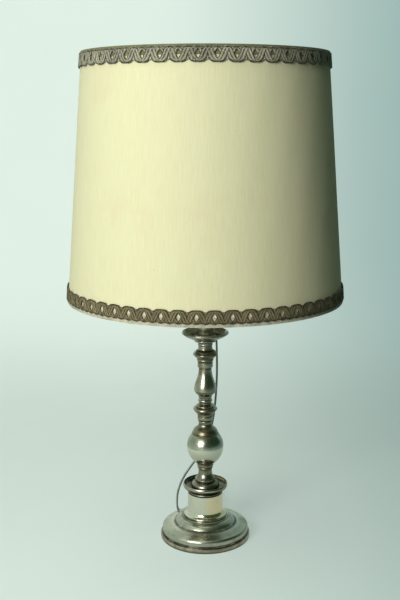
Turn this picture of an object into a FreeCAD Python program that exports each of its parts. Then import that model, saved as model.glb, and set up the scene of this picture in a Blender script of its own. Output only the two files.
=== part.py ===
import FreeCAD, Part
import math
import os

# Candlestick table lamp: a turned, plated candlestick on a loaded foot, wired through an
# adapter in its candle socket, with a lampholder, a shade carrier, a large tapered drum
# shade and a flat flex that hangs down behind. Millimetres, +Z up, origin on the lamp's
# axis in the plane that it stands on. The front is -Y, and the flex leaves to the back.

# --- fits shared by all pieces
WALL = 1.2             # spun metal sheet
ROD_R = 4.0            # tie rod through the candlestick
ROD_CLEAR = 0.3
SPIGOT_R = 6.4         # turned register between two stem pieces
SPIGOT_H = 3.0
SPIGOT_CLEAR = 0.1
SEAT_GAP = 0.1         # between pieces that seat without being fixed
TURN_CLEAR = 0.2       # round a part that turns on another
SHAFT_CLEAR = 0.05

# --- foot
PAD_R = 61.5
PAD_THICK = 1.6
PAD_PROUD = 0.6
FOOT_R = 67.4          # rim band at its lower edge
RIM_BULGE = 0.6
RIM_H = 6.8
QUIRK_R = 65.2         # groove above the rim band
QUIRK_H = 2.3
SHOULDER_IN = 2.6      # from the groove in to where the slope begins
SHOULDER_H = 9.4
SHOULDER_BULGE = 1.0
SLOPE_H = 13.8         # from the groove up to the step
STEP_R = 47.2
STEP_H = 1.9
OVOLO_R = 44.5
OVOLO_H = 7.0
SEAT_R = 34.6          # top of the foot, that the drum stands on
SEAT_H = 1.6
WEIGHT_TOP_CLEAR = 1.0

# --- drum, moulding and lower dish
DRUM_R = 26.3
DRUM_FOOT_R = 32.6
DRUM_FOOT_H = 3.4
DRUM_FLARE_H = 5.7
DRUM_H = 36.3
MOULDING_R = 24.4
MOULDING_BEAD_H = 3.2
MOULDING_THROAT_R = 22.6
MOULDING_LIP_R = 29.0
MOULDING_H = 9.0
DISH_R = 33.7
DISH_FLOOR = 1.6
DISH_RIM_H = 6.4
DISH_RIM_W = 2.6

# --- stem, from the lower dish upwards
SPOOL_BASE_R = 21.3
SPOOL_DOME_H = 6.6
SPOOL_COLLAR_R = 15.2
SPOOL_COLLAR_H = 4.6
SPOOL_WAIST_R = 10.2
SPOOL_H = 27.4
BALL_SEAT_R = 12.2
BALL_SEAT_BEAD_R = 11.0
BALL_SEAT_H = 8.0
BALL_R = 27.5
BALL_WALL = 1.5
BALL_LOWER_H = 28.6
CAP_R = 20.0
CAP_SHOULDER_R = 12.6
CAP_SHOULDER_H = 10.6
CAP_H = 16.0
LOWER_NECK_R = 9.7
LOWER_BAND_R = 11.3
LOWER_COLLAR_H = 15.6
LOWER_KNOP_R = 18.1
LOWER_KNOP_BASE_R = 12.1
LOWER_KNOP_TOP_R = 13.6
LOWER_KNOP_H = 15.6
BEAD_R = 9.9
BEAD_GROOVE_R = 9.0
BEAD_H = 9.4
BELLY_R = 16.7
BELLY_Z = 11.2
BALUSTER_FOOT_R = 9.9
BALUSTER_NECK_R = 9.5
BALUSTER_H = 44.9
UPPER_BAND_R = 11.2
UPPER_COLLAR_H = 11.5
UPPER_KNOP_R = 18.1
UPPER_KNOP_BASE_R = 12.0
UPPER_KNOP_TOP_R = 12.7
UPPER_KNOP_H = 16.4
PAN_NECK_R = 10.2
PAN_NECK_TOP_R = 12.0
PAN_NECK_H = 12.6

# --- upper drip pan, candle socket and tie rod
PAN_R = 34.2
PAN_BEAD_R = 16.4
PAN_WALL = 1.8
PAN_H = 15.6
PAN_FLOOR_R = 22.0
NOZZLE_R = 12.6
NOZZLE_WALL = 1.4
NOZZLE_LIP_R = 14.0
NOZZLE_H = 32.0
NOZZLE_FLOOR = 2.5
NUT_AF = 13.0
NUT_H = 6.5
WASHER_R = 12.0
WASHER_H = 1.6
ROD_PROUD = 2.0

# --- adapter and lampholder
SLEEVE_DEPTH = 18.0
SLEEVE_WALL = 1.4
FLANGE_R = 14.5
FLANGE_H = 3.0
ADAPTER_R = 10.5
ADAPTER_H = 15.0
NIPPLE_R = 5.0
NIPPLE_BORE_R = 3.4
NIPPLE_BITE = 7.0
OUTLET_TURN = 67.0     # direction of the flex outlet, degrees from +X towards +Y
BUSH_R = 4.4
BUSH_FLANGE_R = 5.4
BUSH_REACH = 18.8      # from the axis to the bush's outer face
BUSH_DEPTH = 11.0
BUSH_LIP = 1.6
HOLDER_NECK_R = 8.0
HOLDER_CAP_H = 24.0
HOLDER_FLANGE_R = 22.6
HOLDER_FLANGE_H = 1.8
HOLDER_SHELL_R = 19.8
HOLDER_SHELL_H = 36.0
HOLDER_SKIRT = 4.0
INSERT_H = 12.0
SCREW_SHELL_WALL = 0.5
SCREW_SHELL_H = 17.0
BULB_CAP_CLEAR = 0.3
TERMINAL_R = 2.0
TERMINAL_H = 4.0
TERMINAL_OFFSET = 12.5
KEY_SHAFT_R = 2.0
KEY_BLOCK = 9.0
KEY_BLOCK_X = 6.5
KEY_REACH = 33.0
KEY_WIDTH = 20.0
KEY_HEIGHT = 12.0
KEY_THICK = 3.4
RING_NUT_R = 25.6
RING_NUT_H = 6.0

# --- bulb
BULB_R = 30.0
BULB_H = 106.0
BULB_CAP_R = 13.0
BULB_CAP_H = 24.0
BULB_NECK_R = 16.0
BULB_TIP_R = 4.8
BULB_TIP_H = 2.4
GLASS_WALL = 0.8
STEM_GLASS_R = 3.6
STEM_GLASS_H = 42.0
FILAMENT_SPAN = 26.0
FILAMENT_R = 0.9

# --- shade carrier
CARRIER_PLATE = 2.0
CARRIER_BASE_R = 31.5
CARRIER_FOOT_R = 28.5
ARM_R = 2.0
ARM_COUNT = 3
ARM_SHOULDER_H = 14.0
ARM_SPREAD_H = 22.0
CARRIER_RISE = 280.0
GALLERY_PLATE = 1.5
GALLERY_R = 54.0
GALLERY_LIP_R = 50.0
GALLERY_LIP_H = 5.0
GALLERY_LIP_WALL = 1.5
GALLERY_HOLE_R = 43.5

# --- shade
SHADE_BOTTOM_R = 198.3
SHADE_TOP_R = 171.2
SHADE_H = 344.0
SHADE_RECESS = 46.0    # from the top edge down to the fitting ring
COVER_WALL = 0.8
LINING_WALL = 0.8
WIRE_R = 1.8
FITTING_CLEAR = 0.4
FITTING_W = 5.0
FITTING_H = 2.0
BINDING_WALL = 0.6
BINDING_INSIDE = 7.0
BINDING_OUTSIDE = 12.0
HEM_SHOWS = 3.2        # lower binding left showing between the braid and the edge
TAPE_SHOWS = 1.2       # upper binding left showing
BRAID_H = 19.5
BRAID_WALL = 1.8

# --- flex: flat twin section, and the hank that its spare length is tied into
FLEX_W = 5.0
FLEX_T = 2.5
FLEX_FLAT = 0.55       # share of the width between the two rounded edges
HANK_START_Y = 109.0    # where the outermost run begins, behind the foot
HANK_HALF_RUN = 24.6
HANK_END_R = 23.6
HANK_WAIST = 19.2
HANK_PITCH = 3.3
WAIST_PITCH = 4.2
HANK_LIFT = 3.9
LAYER_RISE = 5.5
TURNS_IN = 2.5
TURNS_OUT = 3.25        # three quarters more than in, so that the end comes back to the foot
TIE_W = 8.0
TIE_THICK = 0.9
TIE_GAP = 0.3

# --- plug
PLUG_X = -9.5
PLUG_BACK_Y = 124.0
PLUG_L = 36.0
PLUG_W = 35.3
PLUG_T = 13.7
PLUG_WAIST_W = 20.0
PLUG_NOSE_L = 14.0
PIN_R = 2.0
PIN_L = 19.0
PIN_SPACING = 18.6
SLEEVE_L = 20.0
SLEEVE_BACK_R = 5.2

# --- heights and places that follow from the sizes above
FOOT_TOP = PAD_PROUD + RIM_H + QUIRK_H + SLOPE_H + STEP_H + OVOLO_H + SEAT_H
DRUM_TOP = FOOT_TOP + DRUM_H
DISH_Z = DRUM_TOP + MOULDING_H
SPOOL_Z = DISH_Z + DISH_FLOOR
BALL_SEAT_Z = SPOOL_Z + SPOOL_H
BALL_Z = BALL_SEAT_Z + BALL_SEAT_H
BALL_MID = BALL_Z + BALL_LOWER_H
CAP_Z = BALL_MID + math.sqrt(BALL_R**2 - CAP_R**2)
LOWER_COLLAR_Z = CAP_Z + CAP_H
LOWER_KNOP_Z = LOWER_COLLAR_Z + LOWER_COLLAR_H
BEAD_Z = LOWER_KNOP_Z + LOWER_KNOP_H
BALUSTER_Z = BEAD_Z + BEAD_H
UPPER_COLLAR_Z = BALUSTER_Z + BALUSTER_H
UPPER_KNOP_Z = UPPER_COLLAR_Z + UPPER_COLLAR_H
PAN_NECK_Z = UPPER_KNOP_Z + UPPER_KNOP_H
PAN_Z = PAN_NECK_Z + PAN_NECK_H
PAN_FLOOR_Z = PAN_Z + PAN_H - 7.6
NOZZLE_TOP = PAN_FLOOR_Z + NOZZLE_H
ADAPTER_Z = NOZZLE_TOP
HOLDER_CAP_R = HOLDER_SHELL_R + WALL
HANK_MID_Y = HANK_START_Y + HANK_HALF_RUN
ADAPTER_TOP = ADAPTER_Z + FLANGE_H + ADAPTER_H
OUTLET_Z = ADAPTER_Z + FLANGE_H + ADAPTER_H / 2
HOLDER_Z = ADAPTER_TOP
SHOULDER_Z = HOLDER_Z + HOLDER_CAP_H
KEY_Z = SHOULDER_Z - HOLDER_FLANGE_H - KEY_BLOCK / 2 - WALL
BULB_Z = SHOULDER_Z + INSERT_H + TERMINAL_R
CARRIER_Z = SHOULDER_Z + SEAT_GAP
GALLERY_Z = CARRIER_Z + CARRIER_PLATE + CARRIER_RISE
FITTING_Z = GALLERY_Z + GALLERY_PLATE + SEAT_GAP
SHADE_TOP = FITTING_Z + SHADE_RECESS
SHADE_BOTTOM = SHADE_TOP - SHADE_H
ARM_TOP_R = GALLERY_HOLE_R + ARM_R + 1.5
BORE_R = ROD_R + ROD_CLEAR
SOCKET_R = SPIGOT_R + SPIGOT_CLEAR
SOCKET_H = SPIGOT_H + SPIGOT_CLEAR

V = FreeCAD.Vector
UP = V(0, 0, 1)


# --- drawing
def outline(start, *steps):
    """Edges through corners (r, z). A third number bows the edge outwards by that sagitta."""
    edges = []
    here = V(start[0], 0, start[1])
    for step in steps:
        to = V(step[0], 0, step[1])
        if len(step) == 3:
            along = to - here
            side = V(along.z, 0, -along.x).normalize()
            middle = (here + to) * 0.5 + side * step[2]
            edges.append(Part.Arc(here, middle, to).toShape())
        else:
            edges.append(Part.LineSegment(here, to).toShape())
        here = to
    return edges


def turned(start, *steps):
    """Solid of revolution of an outline, drawn with the solid on the left."""
    if math.dist(start, steps[-1][:2]) > 1e-9:
        steps = (*steps, start)
    face = Part.Face(Part.Wire(outline(start, *steps)))
    return face.revolve(V(), UP, 360)


def spun(wall, start, *steps):
    """Shell of revolution: an open outline thickened inwards by the sheet's wall."""
    wire = Part.Wire(outline(start, *steps))
    face = wire.makeOffset2D(wall, join=2, fill=True, openResult=True)
    return face.revolve(V(), UP, 360)


def stem_piece(height, foot_r, *steps):
    """Turned stem piece with a rod bore, a socket below and a spigot above."""
    return turned(
        (BORE_R, SOCKET_H),
        (SOCKET_R, SOCKET_H),
        (SOCKET_R, 0),
        (foot_r, 0),
        *steps,
        (SPIGOT_R, height),
        (SPIGOT_R, height + SPIGOT_H),
        (BORE_R, height + SPIGOT_H),
    )


def sagitta(radius, a, b):
    """How far a chord from a to b stands off its arc."""
    half = math.dist(a, b) / 2
    return radius - math.sqrt(radius**2 - half**2)


def tube(outer, inner, height):
    return Part.makeCylinder(outer, height).cut(Part.makeCylinder(inner, height))


def at(shape, x=0.0, y=0.0, z=0.0):
    shape.translate(V(x, y, z))
    return shape


def hexagon_nut(across, height, bore):
    corners = [
        V(math.cos(i * math.pi / 3), math.sin(i * math.pi / 3), 0)
        * (across / math.sqrt(3))
        for i in range(7)
    ]
    prism = Part.Face(Part.makePolygon(corners)).extrude(V(0, 0, height))
    return prism.cut(Part.makeCylinder(bore, height))


def group(solids):
    return Part.makeCompound(solids)


# --- foot
def foot_outline():
    z1 = PAD_PROUD + RIM_H
    z2 = z1 + QUIRK_H
    z3 = z2 + SHOULDER_H
    z4 = z2 + SLOPE_H
    z5 = z4 + STEP_H
    z6 = z5 + OVOLO_H
    return [
        (FOOT_R, PAD_PROUD),
        (FOOT_R, z1, RIM_BULGE),
        (QUIRK_R, z1 + 0.4),
        (QUIRK_R - 0.4, z2),
        (QUIRK_R, z2 + SHOULDER_H * 0.45, 0.3),
        (QUIRK_R - SHOULDER_IN, z3, SHOULDER_BULGE),
        (STEP_R, z4, -0.5),
        (STEP_R - 0.2, z4 + STEP_H / 2),
        (OVOLO_R, z5),
        (SEAT_R + 1.0, z6 - 0.4, 1.2),
        (SEAT_R, z6),
        (SEAT_R, FOOT_TOP),
        (BORE_R, FOOT_TOP),
    ]


def make_foot_shell():
    return spun(WALL, *foot_outline())


def make_foot_weight():
    """Cast loading that follows the foot's inside, counterbored for the rod's nut."""
    base = PAD_THICK
    top = FOOT_TOP - WALL - WEIGHT_TOP_CLEAR
    z2 = PAD_PROUD + RIM_H + QUIRK_H
    inset = WALL + 2 * SEAT_GAP
    counter_r = WASHER_R + 1.0
    counter_top = base + NUT_H + WASHER_H + ROD_PROUD
    return turned(
        (BORE_R, counter_top),
        (counter_r, counter_top),
        (counter_r, base),
        (QUIRK_R - 0.6 - inset, base),
        (QUIRK_R - 0.6 - inset, z2 + SHOULDER_H * 0.5),
        (QUIRK_R - SHOULDER_IN - inset, z2 + SHOULDER_H - 2.6),
        (STEP_R - inset - 0.6, z2 + SLOPE_H - 2.0),
        (SEAT_R - inset, top - OVOLO_H * 0.2),
        (SEAT_R - inset, top),
        (BORE_R, top),
    )


def make_felt_pad():
    return Part.makeCylinder(PAD_R, PAD_THICK)


def make_foot_washer():
    z = PAD_THICK + ROD_PROUD + NUT_H
    return at(tube(WASHER_R, BORE_R, WASHER_H), z=z)


def make_foot_nut():
    z = PAD_THICK + ROD_PROUD
    return at(hexagon_nut(NUT_AF, NUT_H, ROD_R), z=z)


def make_tie_rod():
    low = PAD_THICK + SEAT_GAP
    high = PAN_FLOOR_Z + NOZZLE_FLOOR + NUT_H + ROD_PROUD
    return at(Part.makeCylinder(ROD_R, high - low), z=low)


# --- drum, moulding, dish
def make_drum():
    return at(
        spun(
            WALL,
            (DRUM_FOOT_R, 0),
            (DRUM_FOOT_R, DRUM_FOOT_H / 2),
            (DRUM_FOOT_R - 0.8, DRUM_FOOT_H, 0.3),
            (DRUM_R, DRUM_FOOT_H + DRUM_FLARE_H, -1.2),
            (DRUM_R, DRUM_H),
            (BORE_R, DRUM_H),
        ),
        z=FOOT_TOP,
    )


def make_drum_moulding():
    bead_top = MOULDING_BEAD_H
    return at(
        turned(
            (BORE_R, 0),
            (MOULDING_R, 0),
            (MOULDING_R, bead_top, 0.9),
            (MOULDING_THROAT_R, bead_top + 0.6),
            (MOULDING_LIP_R, MOULDING_H, -1.3),
            (BORE_R, MOULDING_H),
        ),
        z=DRUM_TOP,
    )


def make_drip_dish():
    inner = DISH_R - DISH_RIM_W
    return at(
        turned(
            (BORE_R, 0),
            (DISH_R - 1.2, 0),
            (DISH_R - 0.5, DISH_RIM_H - 0.9, 0.8),
            (DISH_R - 1.2, DISH_RIM_H, 0.2),
            (inner + 0.8, DISH_RIM_H - 0.6, 0.2),
            (inner - 0.6, DISH_FLOOR, -0.3),
            (BORE_R, DISH_FLOOR),
        ),
        z=DISH_Z,
    )


# --- stem
def make_stem_spool():
    collar_z = SPOOL_DOME_H + 0.8
    waist_z = SPOOL_H - 4.0
    return at(
        stem_piece(
            SPOOL_H,
            SPOOL_BASE_R,
            (SPOOL_COLLAR_R + 1.2, SPOOL_DOME_H, 1.6),
            (SPOOL_COLLAR_R - 0.4, collar_z),
            (SPOOL_COLLAR_R, collar_z + SPOOL_COLLAR_H, 0.5),
            (SPOOL_WAIST_R, waist_z, -1.5),
            (BALL_SEAT_BEAD_R - 0.6, SPOOL_H, -0.1),
        ),
        z=SPOOL_Z,
    )


def make_ball_seat():
    return at(
        stem_piece(
            BALL_SEAT_H,
            BALL_SEAT_BEAD_R - 0.4,
            (BALL_SEAT_BEAD_R - 0.4, 0.4),
            (BALL_SEAT_BEAD_R, 2.8, 0.7),
            (BALL_SEAT_BEAD_R - 0.4, 3.4),
            (BALL_SEAT_R, 4.2),
            (BALL_SEAT_R, BALL_SEAT_H, 0.3),
        ),
        z=BALL_SEAT_Z,
    )


def make_ball_lower():
    """Deeper lower bowl, whose side is upright where it meets the upper half."""
    run = BALL_R - BALL_SEAT_R
    radius = (run**2 + BALL_LOWER_H**2) / (2 * run)
    foot, rim = (BALL_SEAT_R, 0), (BALL_R, BALL_LOWER_H)
    inner_z = 2 * BALL_WALL
    centre = BALL_R - radius
    inner_r = radius - BALL_WALL
    inner_foot = (centre + math.sqrt(inner_r**2 - (BALL_LOWER_H - inner_z) ** 2), inner_z)
    inner_rim = (BALL_R - BALL_WALL, BALL_LOWER_H)
    return at(
        turned(
            (SOCKET_R, 0),
            foot,
            (*rim, sagitta(radius, foot, rim)),
            inner_rim,
            (*inner_foot, -sagitta(inner_r, inner_foot, inner_rim)),
            (SOCKET_R, inner_z),
        ),
        z=BALL_Z,
    )


def make_ball_upper():
    inner_r = BALL_R - BALL_WALL
    outer_top = (BORE_R, math.sqrt(BALL_R**2 - BORE_R**2))
    inner_top = (BORE_R, math.sqrt(inner_r**2 - BORE_R**2))
    rim, inner_rim = (BALL_R, 0), (inner_r, 0)
    return at(
        turned(
            inner_rim,
            rim,
            (*outer_top, sagitta(BALL_R, rim, outer_top)),
            inner_top,
            (*inner_rim, -sagitta(inner_r, inner_rim, inner_top)),
        ),
        z=BALL_MID,
    )


def make_bell_cap():
    """Bell-shaped cap, hollowed underneath to sit on the ball."""
    cap = turned(
        (BORE_R, -1.0),
        (CAP_R - 0.6, -1.0),
        (CAP_R, 0.0),
        (CAP_R, 1.2, 0.2),
        (CAP_R - 0.9, 1.7),
        (CAP_R - 0.9, 2.6, 0.2),
        (CAP_SHOULDER_R, CAP_SHOULDER_H, 1.1),
        (LOWER_NECK_R + 0.1, CAP_H, -0.6),
        (SPIGOT_R, CAP_H),
        (SPIGOT_R, CAP_H + SPIGOT_H),
        (BORE_R, CAP_H + SPIGOT_H),
    )
    ball = Part.makeSphere(BALL_R + SEAT_GAP, V(0, 0, BALL_MID - CAP_Z))
    return at(cap.cut(ball), z=CAP_Z)


def make_lower_collar():
    band = 6.4
    return at(
        stem_piece(
            LOWER_COLLAR_H,
            LOWER_NECK_R,
            (LOWER_NECK_R, 2.0),
            (LOWER_NECK_R, 4.8, 0.9),
            (LOWER_BAND_R - 0.8, band - 0.8),
            (LOWER_BAND_R, band),
            (LOWER_BAND_R, band + 5.4, 0.3),
            (LOWER_BAND_R - 0.7, band + 6.1),
            (LOWER_BAND_R - 0.7, band + 6.9),
            (LOWER_KNOP_BASE_R, band + 7.5),
            (LOWER_KNOP_BASE_R, LOWER_COLLAR_H),
        ),
        z=LOWER_COLLAR_Z,
    )


def make_lower_knop():
    return at(
        stem_piece(
            LOWER_KNOP_H,
            LOWER_KNOP_BASE_R,
            (LOWER_KNOP_R - 1.0, 5.4, 0.4),
            (LOWER_KNOP_R, 7.0),
            (LOWER_KNOP_R - 0.3, 8.0, 0.1),
            (LOWER_KNOP_TOP_R + 1.6, 10.4, 0.4),
            (LOWER_KNOP_TOP_R, 10.8),
            (LOWER_KNOP_TOP_R - 0.6, 13.2, 0.8),
            (BEAD_GROOVE_R + 0.8, 14.6),
            (BEAD_GROOVE_R, LOWER_KNOP_H, -0.2),
        ),
        z=LOWER_KNOP_Z,
    )


def make_bead_ring():
    return at(
        stem_piece(
            BEAD_H,
            BEAD_GROOVE_R,
            (BEAD_GROOVE_R, 1.6),
            (BEAD_R, 3.0),
            (BEAD_R, 6.4, 0.9),
            (BEAD_GROOVE_R, 7.6),
            (BEAD_GROOVE_R, 8.4),
            (BALUSTER_FOOT_R, BEAD_H),
        ),
        z=BEAD_Z,
    )


def make_baluster():
    """Pear-shaped baluster with a sharp lower edge to its belly."""
    return at(
        stem_piece(
            BALUSTER_H,
            BALUSTER_FOOT_R,
            (BELLY_R - 3.6, BELLY_Z - 5.2, -0.7),
            (BELLY_R - 0.8, BELLY_Z - 1.4, 0.5),
            (BELLY_R, BELLY_Z),
            (BELLY_R - 3.0, BELLY_Z + 14.4, 0.7),
            (BALUSTER_NECK_R, BALUSTER_H, -0.8),
        ),
        z=BALUSTER_Z,
    )


def make_upper_collar():
    band = 2.3
    return at(
        stem_piece(
            UPPER_COLLAR_H,
            BALUSTER_NECK_R,
            (BALUSTER_NECK_R - 0.2, 1.2),
            (UPPER_BAND_R - 0.5, band - 0.4),
            (UPPER_BAND_R, band),
            (UPPER_BAND_R, band + 7.2, 0.2),
            (UPPER_BAND_R - 0.7, band + 7.6),
            (UPPER_BAND_R - 0.7, band + 8.3),
            (UPPER_KNOP_BASE_R - 0.4, UPPER_COLLAR_H),
        ),
        z=UPPER_COLLAR_Z,
    )


def make_upper_knop():
    return at(
        stem_piece(
            UPPER_KNOP_H,
            UPPER_KNOP_BASE_R - 0.4,
            (UPPER_KNOP_BASE_R, 3.0, 0.6),
            (UPPER_KNOP_BASE_R + 0.6, 4.6),
            (UPPER_KNOP_R, 9.8, 0.3),
            (UPPER_KNOP_R, 11.0, 0.2),
            (UPPER_KNOP_TOP_R, UPPER_KNOP_H, 0.5),
        ),
        z=UPPER_KNOP_Z,
    )


def make_pan_neck():
    return at(
        stem_piece(
            PAN_NECK_H,
            UPPER_KNOP_TOP_R,
            (PAN_NECK_R + 0.4, 2.8, -0.5),
            (PAN_NECK_R, 6.8),
            (PAN_NECK_R + 0.6, 9.4, 0.4),
            (PAN_NECK_R + 0.8, 10.4),
            (PAN_NECK_TOP_R, PAN_NECK_H, -0.3),
        ),
        z=PAN_NECK_Z,
    )


# --- drip pan and candle socket
def make_drip_pan():
    """Shallow dished pan with a rolled rim, on a beaded foot."""
    floor = PAN_FLOOR_Z - PAN_Z
    return at(
        turned(
            (BORE_R, SOCKET_H),
            (SOCKET_R, SOCKET_H),
            (SOCKET_R, 0),
            (PAN_NECK_TOP_R, 0),
            (PAN_BEAD_R - 0.8, 0.8),
            (PAN_BEAD_R - 0.8, 4.0, 1.0),
            (PAN_BEAD_R - 1.2, 4.8),
            (PAN_FLOOR_R + 4.0, floor - 0.4, 0.9),
            (PAN_R - 0.6, PAN_H - 3.4, 0.5),
            (PAN_R - 0.2, PAN_H - 0.8, 0.9),
            (PAN_R - 1.6, PAN_H, 0.5),
            (PAN_R - PAN_WALL - 0.9, PAN_H - 1.6),
            (PAN_FLOOR_R, floor, -0.8),
            (BORE_R, floor),
        ),
        z=PAN_Z,
    )


def make_candle_nozzle():
    bore = NOZZLE_R - NOZZLE_WALL
    return at(
        turned(
            (BORE_R, 0),
            (NOZZLE_R + 3.4, 0),
            (NOZZLE_R + 3.4, 1.2, 0.3),
            (NOZZLE_R, 3.4, -0.6),
            (NOZZLE_R, NOZZLE_H - 2.4),
            (NOZZLE_LIP_R, NOZZLE_H - 1.6, -0.3),
            (NOZZLE_LIP_R, NOZZLE_H, 0.3),
            (bore, NOZZLE_H),
            (bore, NOZZLE_FLOOR),
            (BORE_R, NOZZLE_FLOOR),
        ),
        z=PAN_FLOOR_Z,
    )


def make_rod_nut():
    return at(hexagon_nut(NUT_AF, NUT_H, ROD_R), z=PAN_FLOOR_Z + NOZZLE_FLOOR)


# --- adapter
def make_adapter_sleeve():
    outer = NOZZLE_R - NOZZLE_WALL
    return at(tube(outer, outer - SLEEVE_WALL, SLEEVE_DEPTH), z=ADAPTER_Z - SLEEVE_DEPTH)


def outlet_axis():
    turn = math.radians(OUTLET_TURN)
    return V(math.cos(turn), math.sin(turn), 0)


def make_adapter_body():
    """Plug, flange and turret, with a hole up the middle and one out of the side."""
    plug = NOZZLE_R - NOZZLE_WALL - SLEEVE_WALL
    body = turned(
        (0, -SLEEVE_DEPTH),
        (plug, -SLEEVE_DEPTH),
        (plug, 0),
        (FLANGE_R, 0),
        (FLANGE_R, FLANGE_H, 0.3),
        (ADAPTER_R, FLANGE_H + 0.4),
        (ADAPTER_R, FLANGE_H + ADAPTER_H - 1.0),
        (ADAPTER_R - 1.0, FLANGE_H + ADAPTER_H, 0.3),
        (0, FLANGE_H + ADAPTER_H),
    )
    well_z = FLANGE_H + ADAPTER_H / 2 - NIPPLE_BORE_R
    thread_z = FLANGE_H + ADAPTER_H - NIPPLE_BITE
    top = FLANGE_H + ADAPTER_H
    body = body.cut(Part.makeCylinder(NIPPLE_BORE_R, top - well_z, V(0, 0, well_z)))
    body = body.cut(Part.makeCylinder(NIPPLE_R, top - thread_z, V(0, 0, thread_z)))
    centre = V(0, 0, FLANGE_H + ADAPTER_H / 2)
    body = body.cut(Part.makeCylinder(NIPPLE_BORE_R, BUSH_REACH, centre, outlet_axis()))
    seat = centre + outlet_axis() * (BUSH_REACH - BUSH_DEPTH)
    body = body.cut(Part.makeCylinder(BUSH_R, BUSH_DEPTH, seat, outlet_axis()))
    return at(body, z=ADAPTER_Z)


def make_cord_bush():
    """Moulded bush in the adapter's side, whose outer face the flex leaves."""
    seat = outlet_axis() * (BUSH_REACH - BUSH_DEPTH) + UP * OUTLET_Z
    lip = outlet_axis() * (BUSH_REACH - BUSH_LIP) + UP * OUTLET_Z
    barrel = Part.makeCylinder(BUSH_R, BUSH_DEPTH, seat, outlet_axis())
    return barrel.fuse(Part.makeCylinder(BUSH_FLANGE_R, BUSH_LIP, lip, outlet_axis()))


def make_holder_nipple():
    low = ADAPTER_TOP - NIPPLE_BITE
    high = HOLDER_Z + WALL + NIPPLE_BITE
    return at(tube(NIPPLE_R, NIPPLE_BORE_R, high - low), z=low)


# --- lampholder
def make_holder_cap():
    cap = at(
        spun(
            WALL,
            (NIPPLE_R, 0),
            (HOLDER_NECK_R, 0),
            (HOLDER_NECK_R, 3.0),
            (HOLDER_CAP_R, 10.0, 2.0),
            (HOLDER_CAP_R, HOLDER_CAP_H - HOLDER_FLANGE_H),
            (HOLDER_FLANGE_R, HOLDER_CAP_H - HOLDER_FLANGE_H),
        ),
        z=HOLDER_Z,
    )
    flange = tube(HOLDER_FLANGE_R, HOLDER_SHELL_R, HOLDER_FLANGE_H)
    cap = cap.fuse(at(flange, z=SHOULDER_Z - HOLDER_FLANGE_H))
    slot = Part.makeCylinder(KEY_SHAFT_R + TURN_CLEAR, HOLDER_CAP_R * 2, V(0, 0, KEY_Z), V(1, 0, 0))
    return cap.cut(slot).removeSplitter()


def make_holder_insert():
    """Ceramic body in the shell, with the switch's block below that bears the key's shaft."""
    body = at(Part.makeCylinder(HOLDER_SHELL_R - WALL, INSERT_H), z=SHOULDER_Z)
    half = KEY_BLOCK / 2
    tall = SHOULDER_Z - KEY_Z + half
    block = Part.makeBox(KEY_BLOCK, KEY_BLOCK, tall, V(KEY_BLOCK_X, -half, KEY_Z - half))
    rim = BULB_CAP_R + BULB_CAP_CLEAR + SCREW_SHELL_WALL
    well = Part.makeCylinder(rim, INSERT_H, V(0, 0, SHOULDER_Z + TERMINAL_H))
    bore = Part.makeCylinder(KEY_SHAFT_R + SHAFT_CLEAR, KEY_BLOCK, V(key_start(), 0, KEY_Z), V(1, 0, 0))
    return body.fuse(block).cut(well).cut(bore).removeSplitter()


def make_holder_shell():
    """Tube round the ceramic body, whose skirt stands in the cap."""
    tall = HOLDER_SHELL_H + HOLDER_SKIRT
    return at(tube(HOLDER_SHELL_R, HOLDER_SHELL_R - WALL, tall), z=SHOULDER_Z - HOLDER_SKIRT)


def make_contact_shell():
    """Threaded brass shell that the bulb's cap screws into, on the insert's floor."""
    inner = BULB_CAP_R + BULB_CAP_CLEAR
    return at(tube(inner + SCREW_SHELL_WALL, inner, SCREW_SHELL_H), z=SHOULDER_Z + TERMINAL_H)


def make_contact_centre():
    """Sprung brass tongue under the bulb's tip."""
    low = SHOULDER_Z + TERMINAL_H
    high = BULB_Z - SEAT_GAP
    post = Part.makeBox(6.0, 3.0, high - low, V(-3.0, -1.5, low))
    leaf = Part.makeBox(9.0, 5.0, 0.8, V(-3.0, -2.5, high - 0.8))
    return post.fuse(leaf).removeSplitter()


def make_terminal_screws():
    low = SHOULDER_Z - TERMINAL_H
    return group(
        [
            Part.makeCylinder(TERMINAL_R, TERMINAL_H, V(0, side * TERMINAL_OFFSET, low))
            for side in (-1, 1)
        ]
    )


def key_start():
    """Bottom of the shaft's bearing hole in the block."""
    return KEY_BLOCK_X + KEY_BLOCK / 3


def make_key_shaft():
    start = key_start() + SHAFT_CLEAR
    return Part.makeCylinder(KEY_SHAFT_R, KEY_REACH - start, V(start, 0, KEY_Z), V(1, 0, 0))


def make_switch_key():
    """Flat oval key on the end of the shaft."""
    half = (KEY_WIDTH - KEY_HEIGHT) / 2
    r = KEY_HEIGHT / 2
    corners = [V(0, -half, -r), V(0, half, -r), V(0, half, r), V(0, -half, r)]
    wire = Part.Wire(
        [
            Part.LineSegment(corners[0], corners[1]).toShape(),
            Part.Arc(corners[1], V(0, half + r, 0), corners[2]).toShape(),
            Part.LineSegment(corners[2], corners[3]).toShape(),
            Part.Arc(corners[3], V(0, -half - r, 0), corners[0]).toShape(),
        ]
    )
    key = Part.Face(wire).extrude(V(KEY_THICK, 0, 0))
    return at(key, x=KEY_REACH, z=KEY_Z)


def make_ring_nut():
    z = CARRIER_Z + CARRIER_PLATE + SEAT_GAP
    return at(tube(RING_NUT_R, HOLDER_SHELL_R, RING_NUT_H), z=z)


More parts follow.
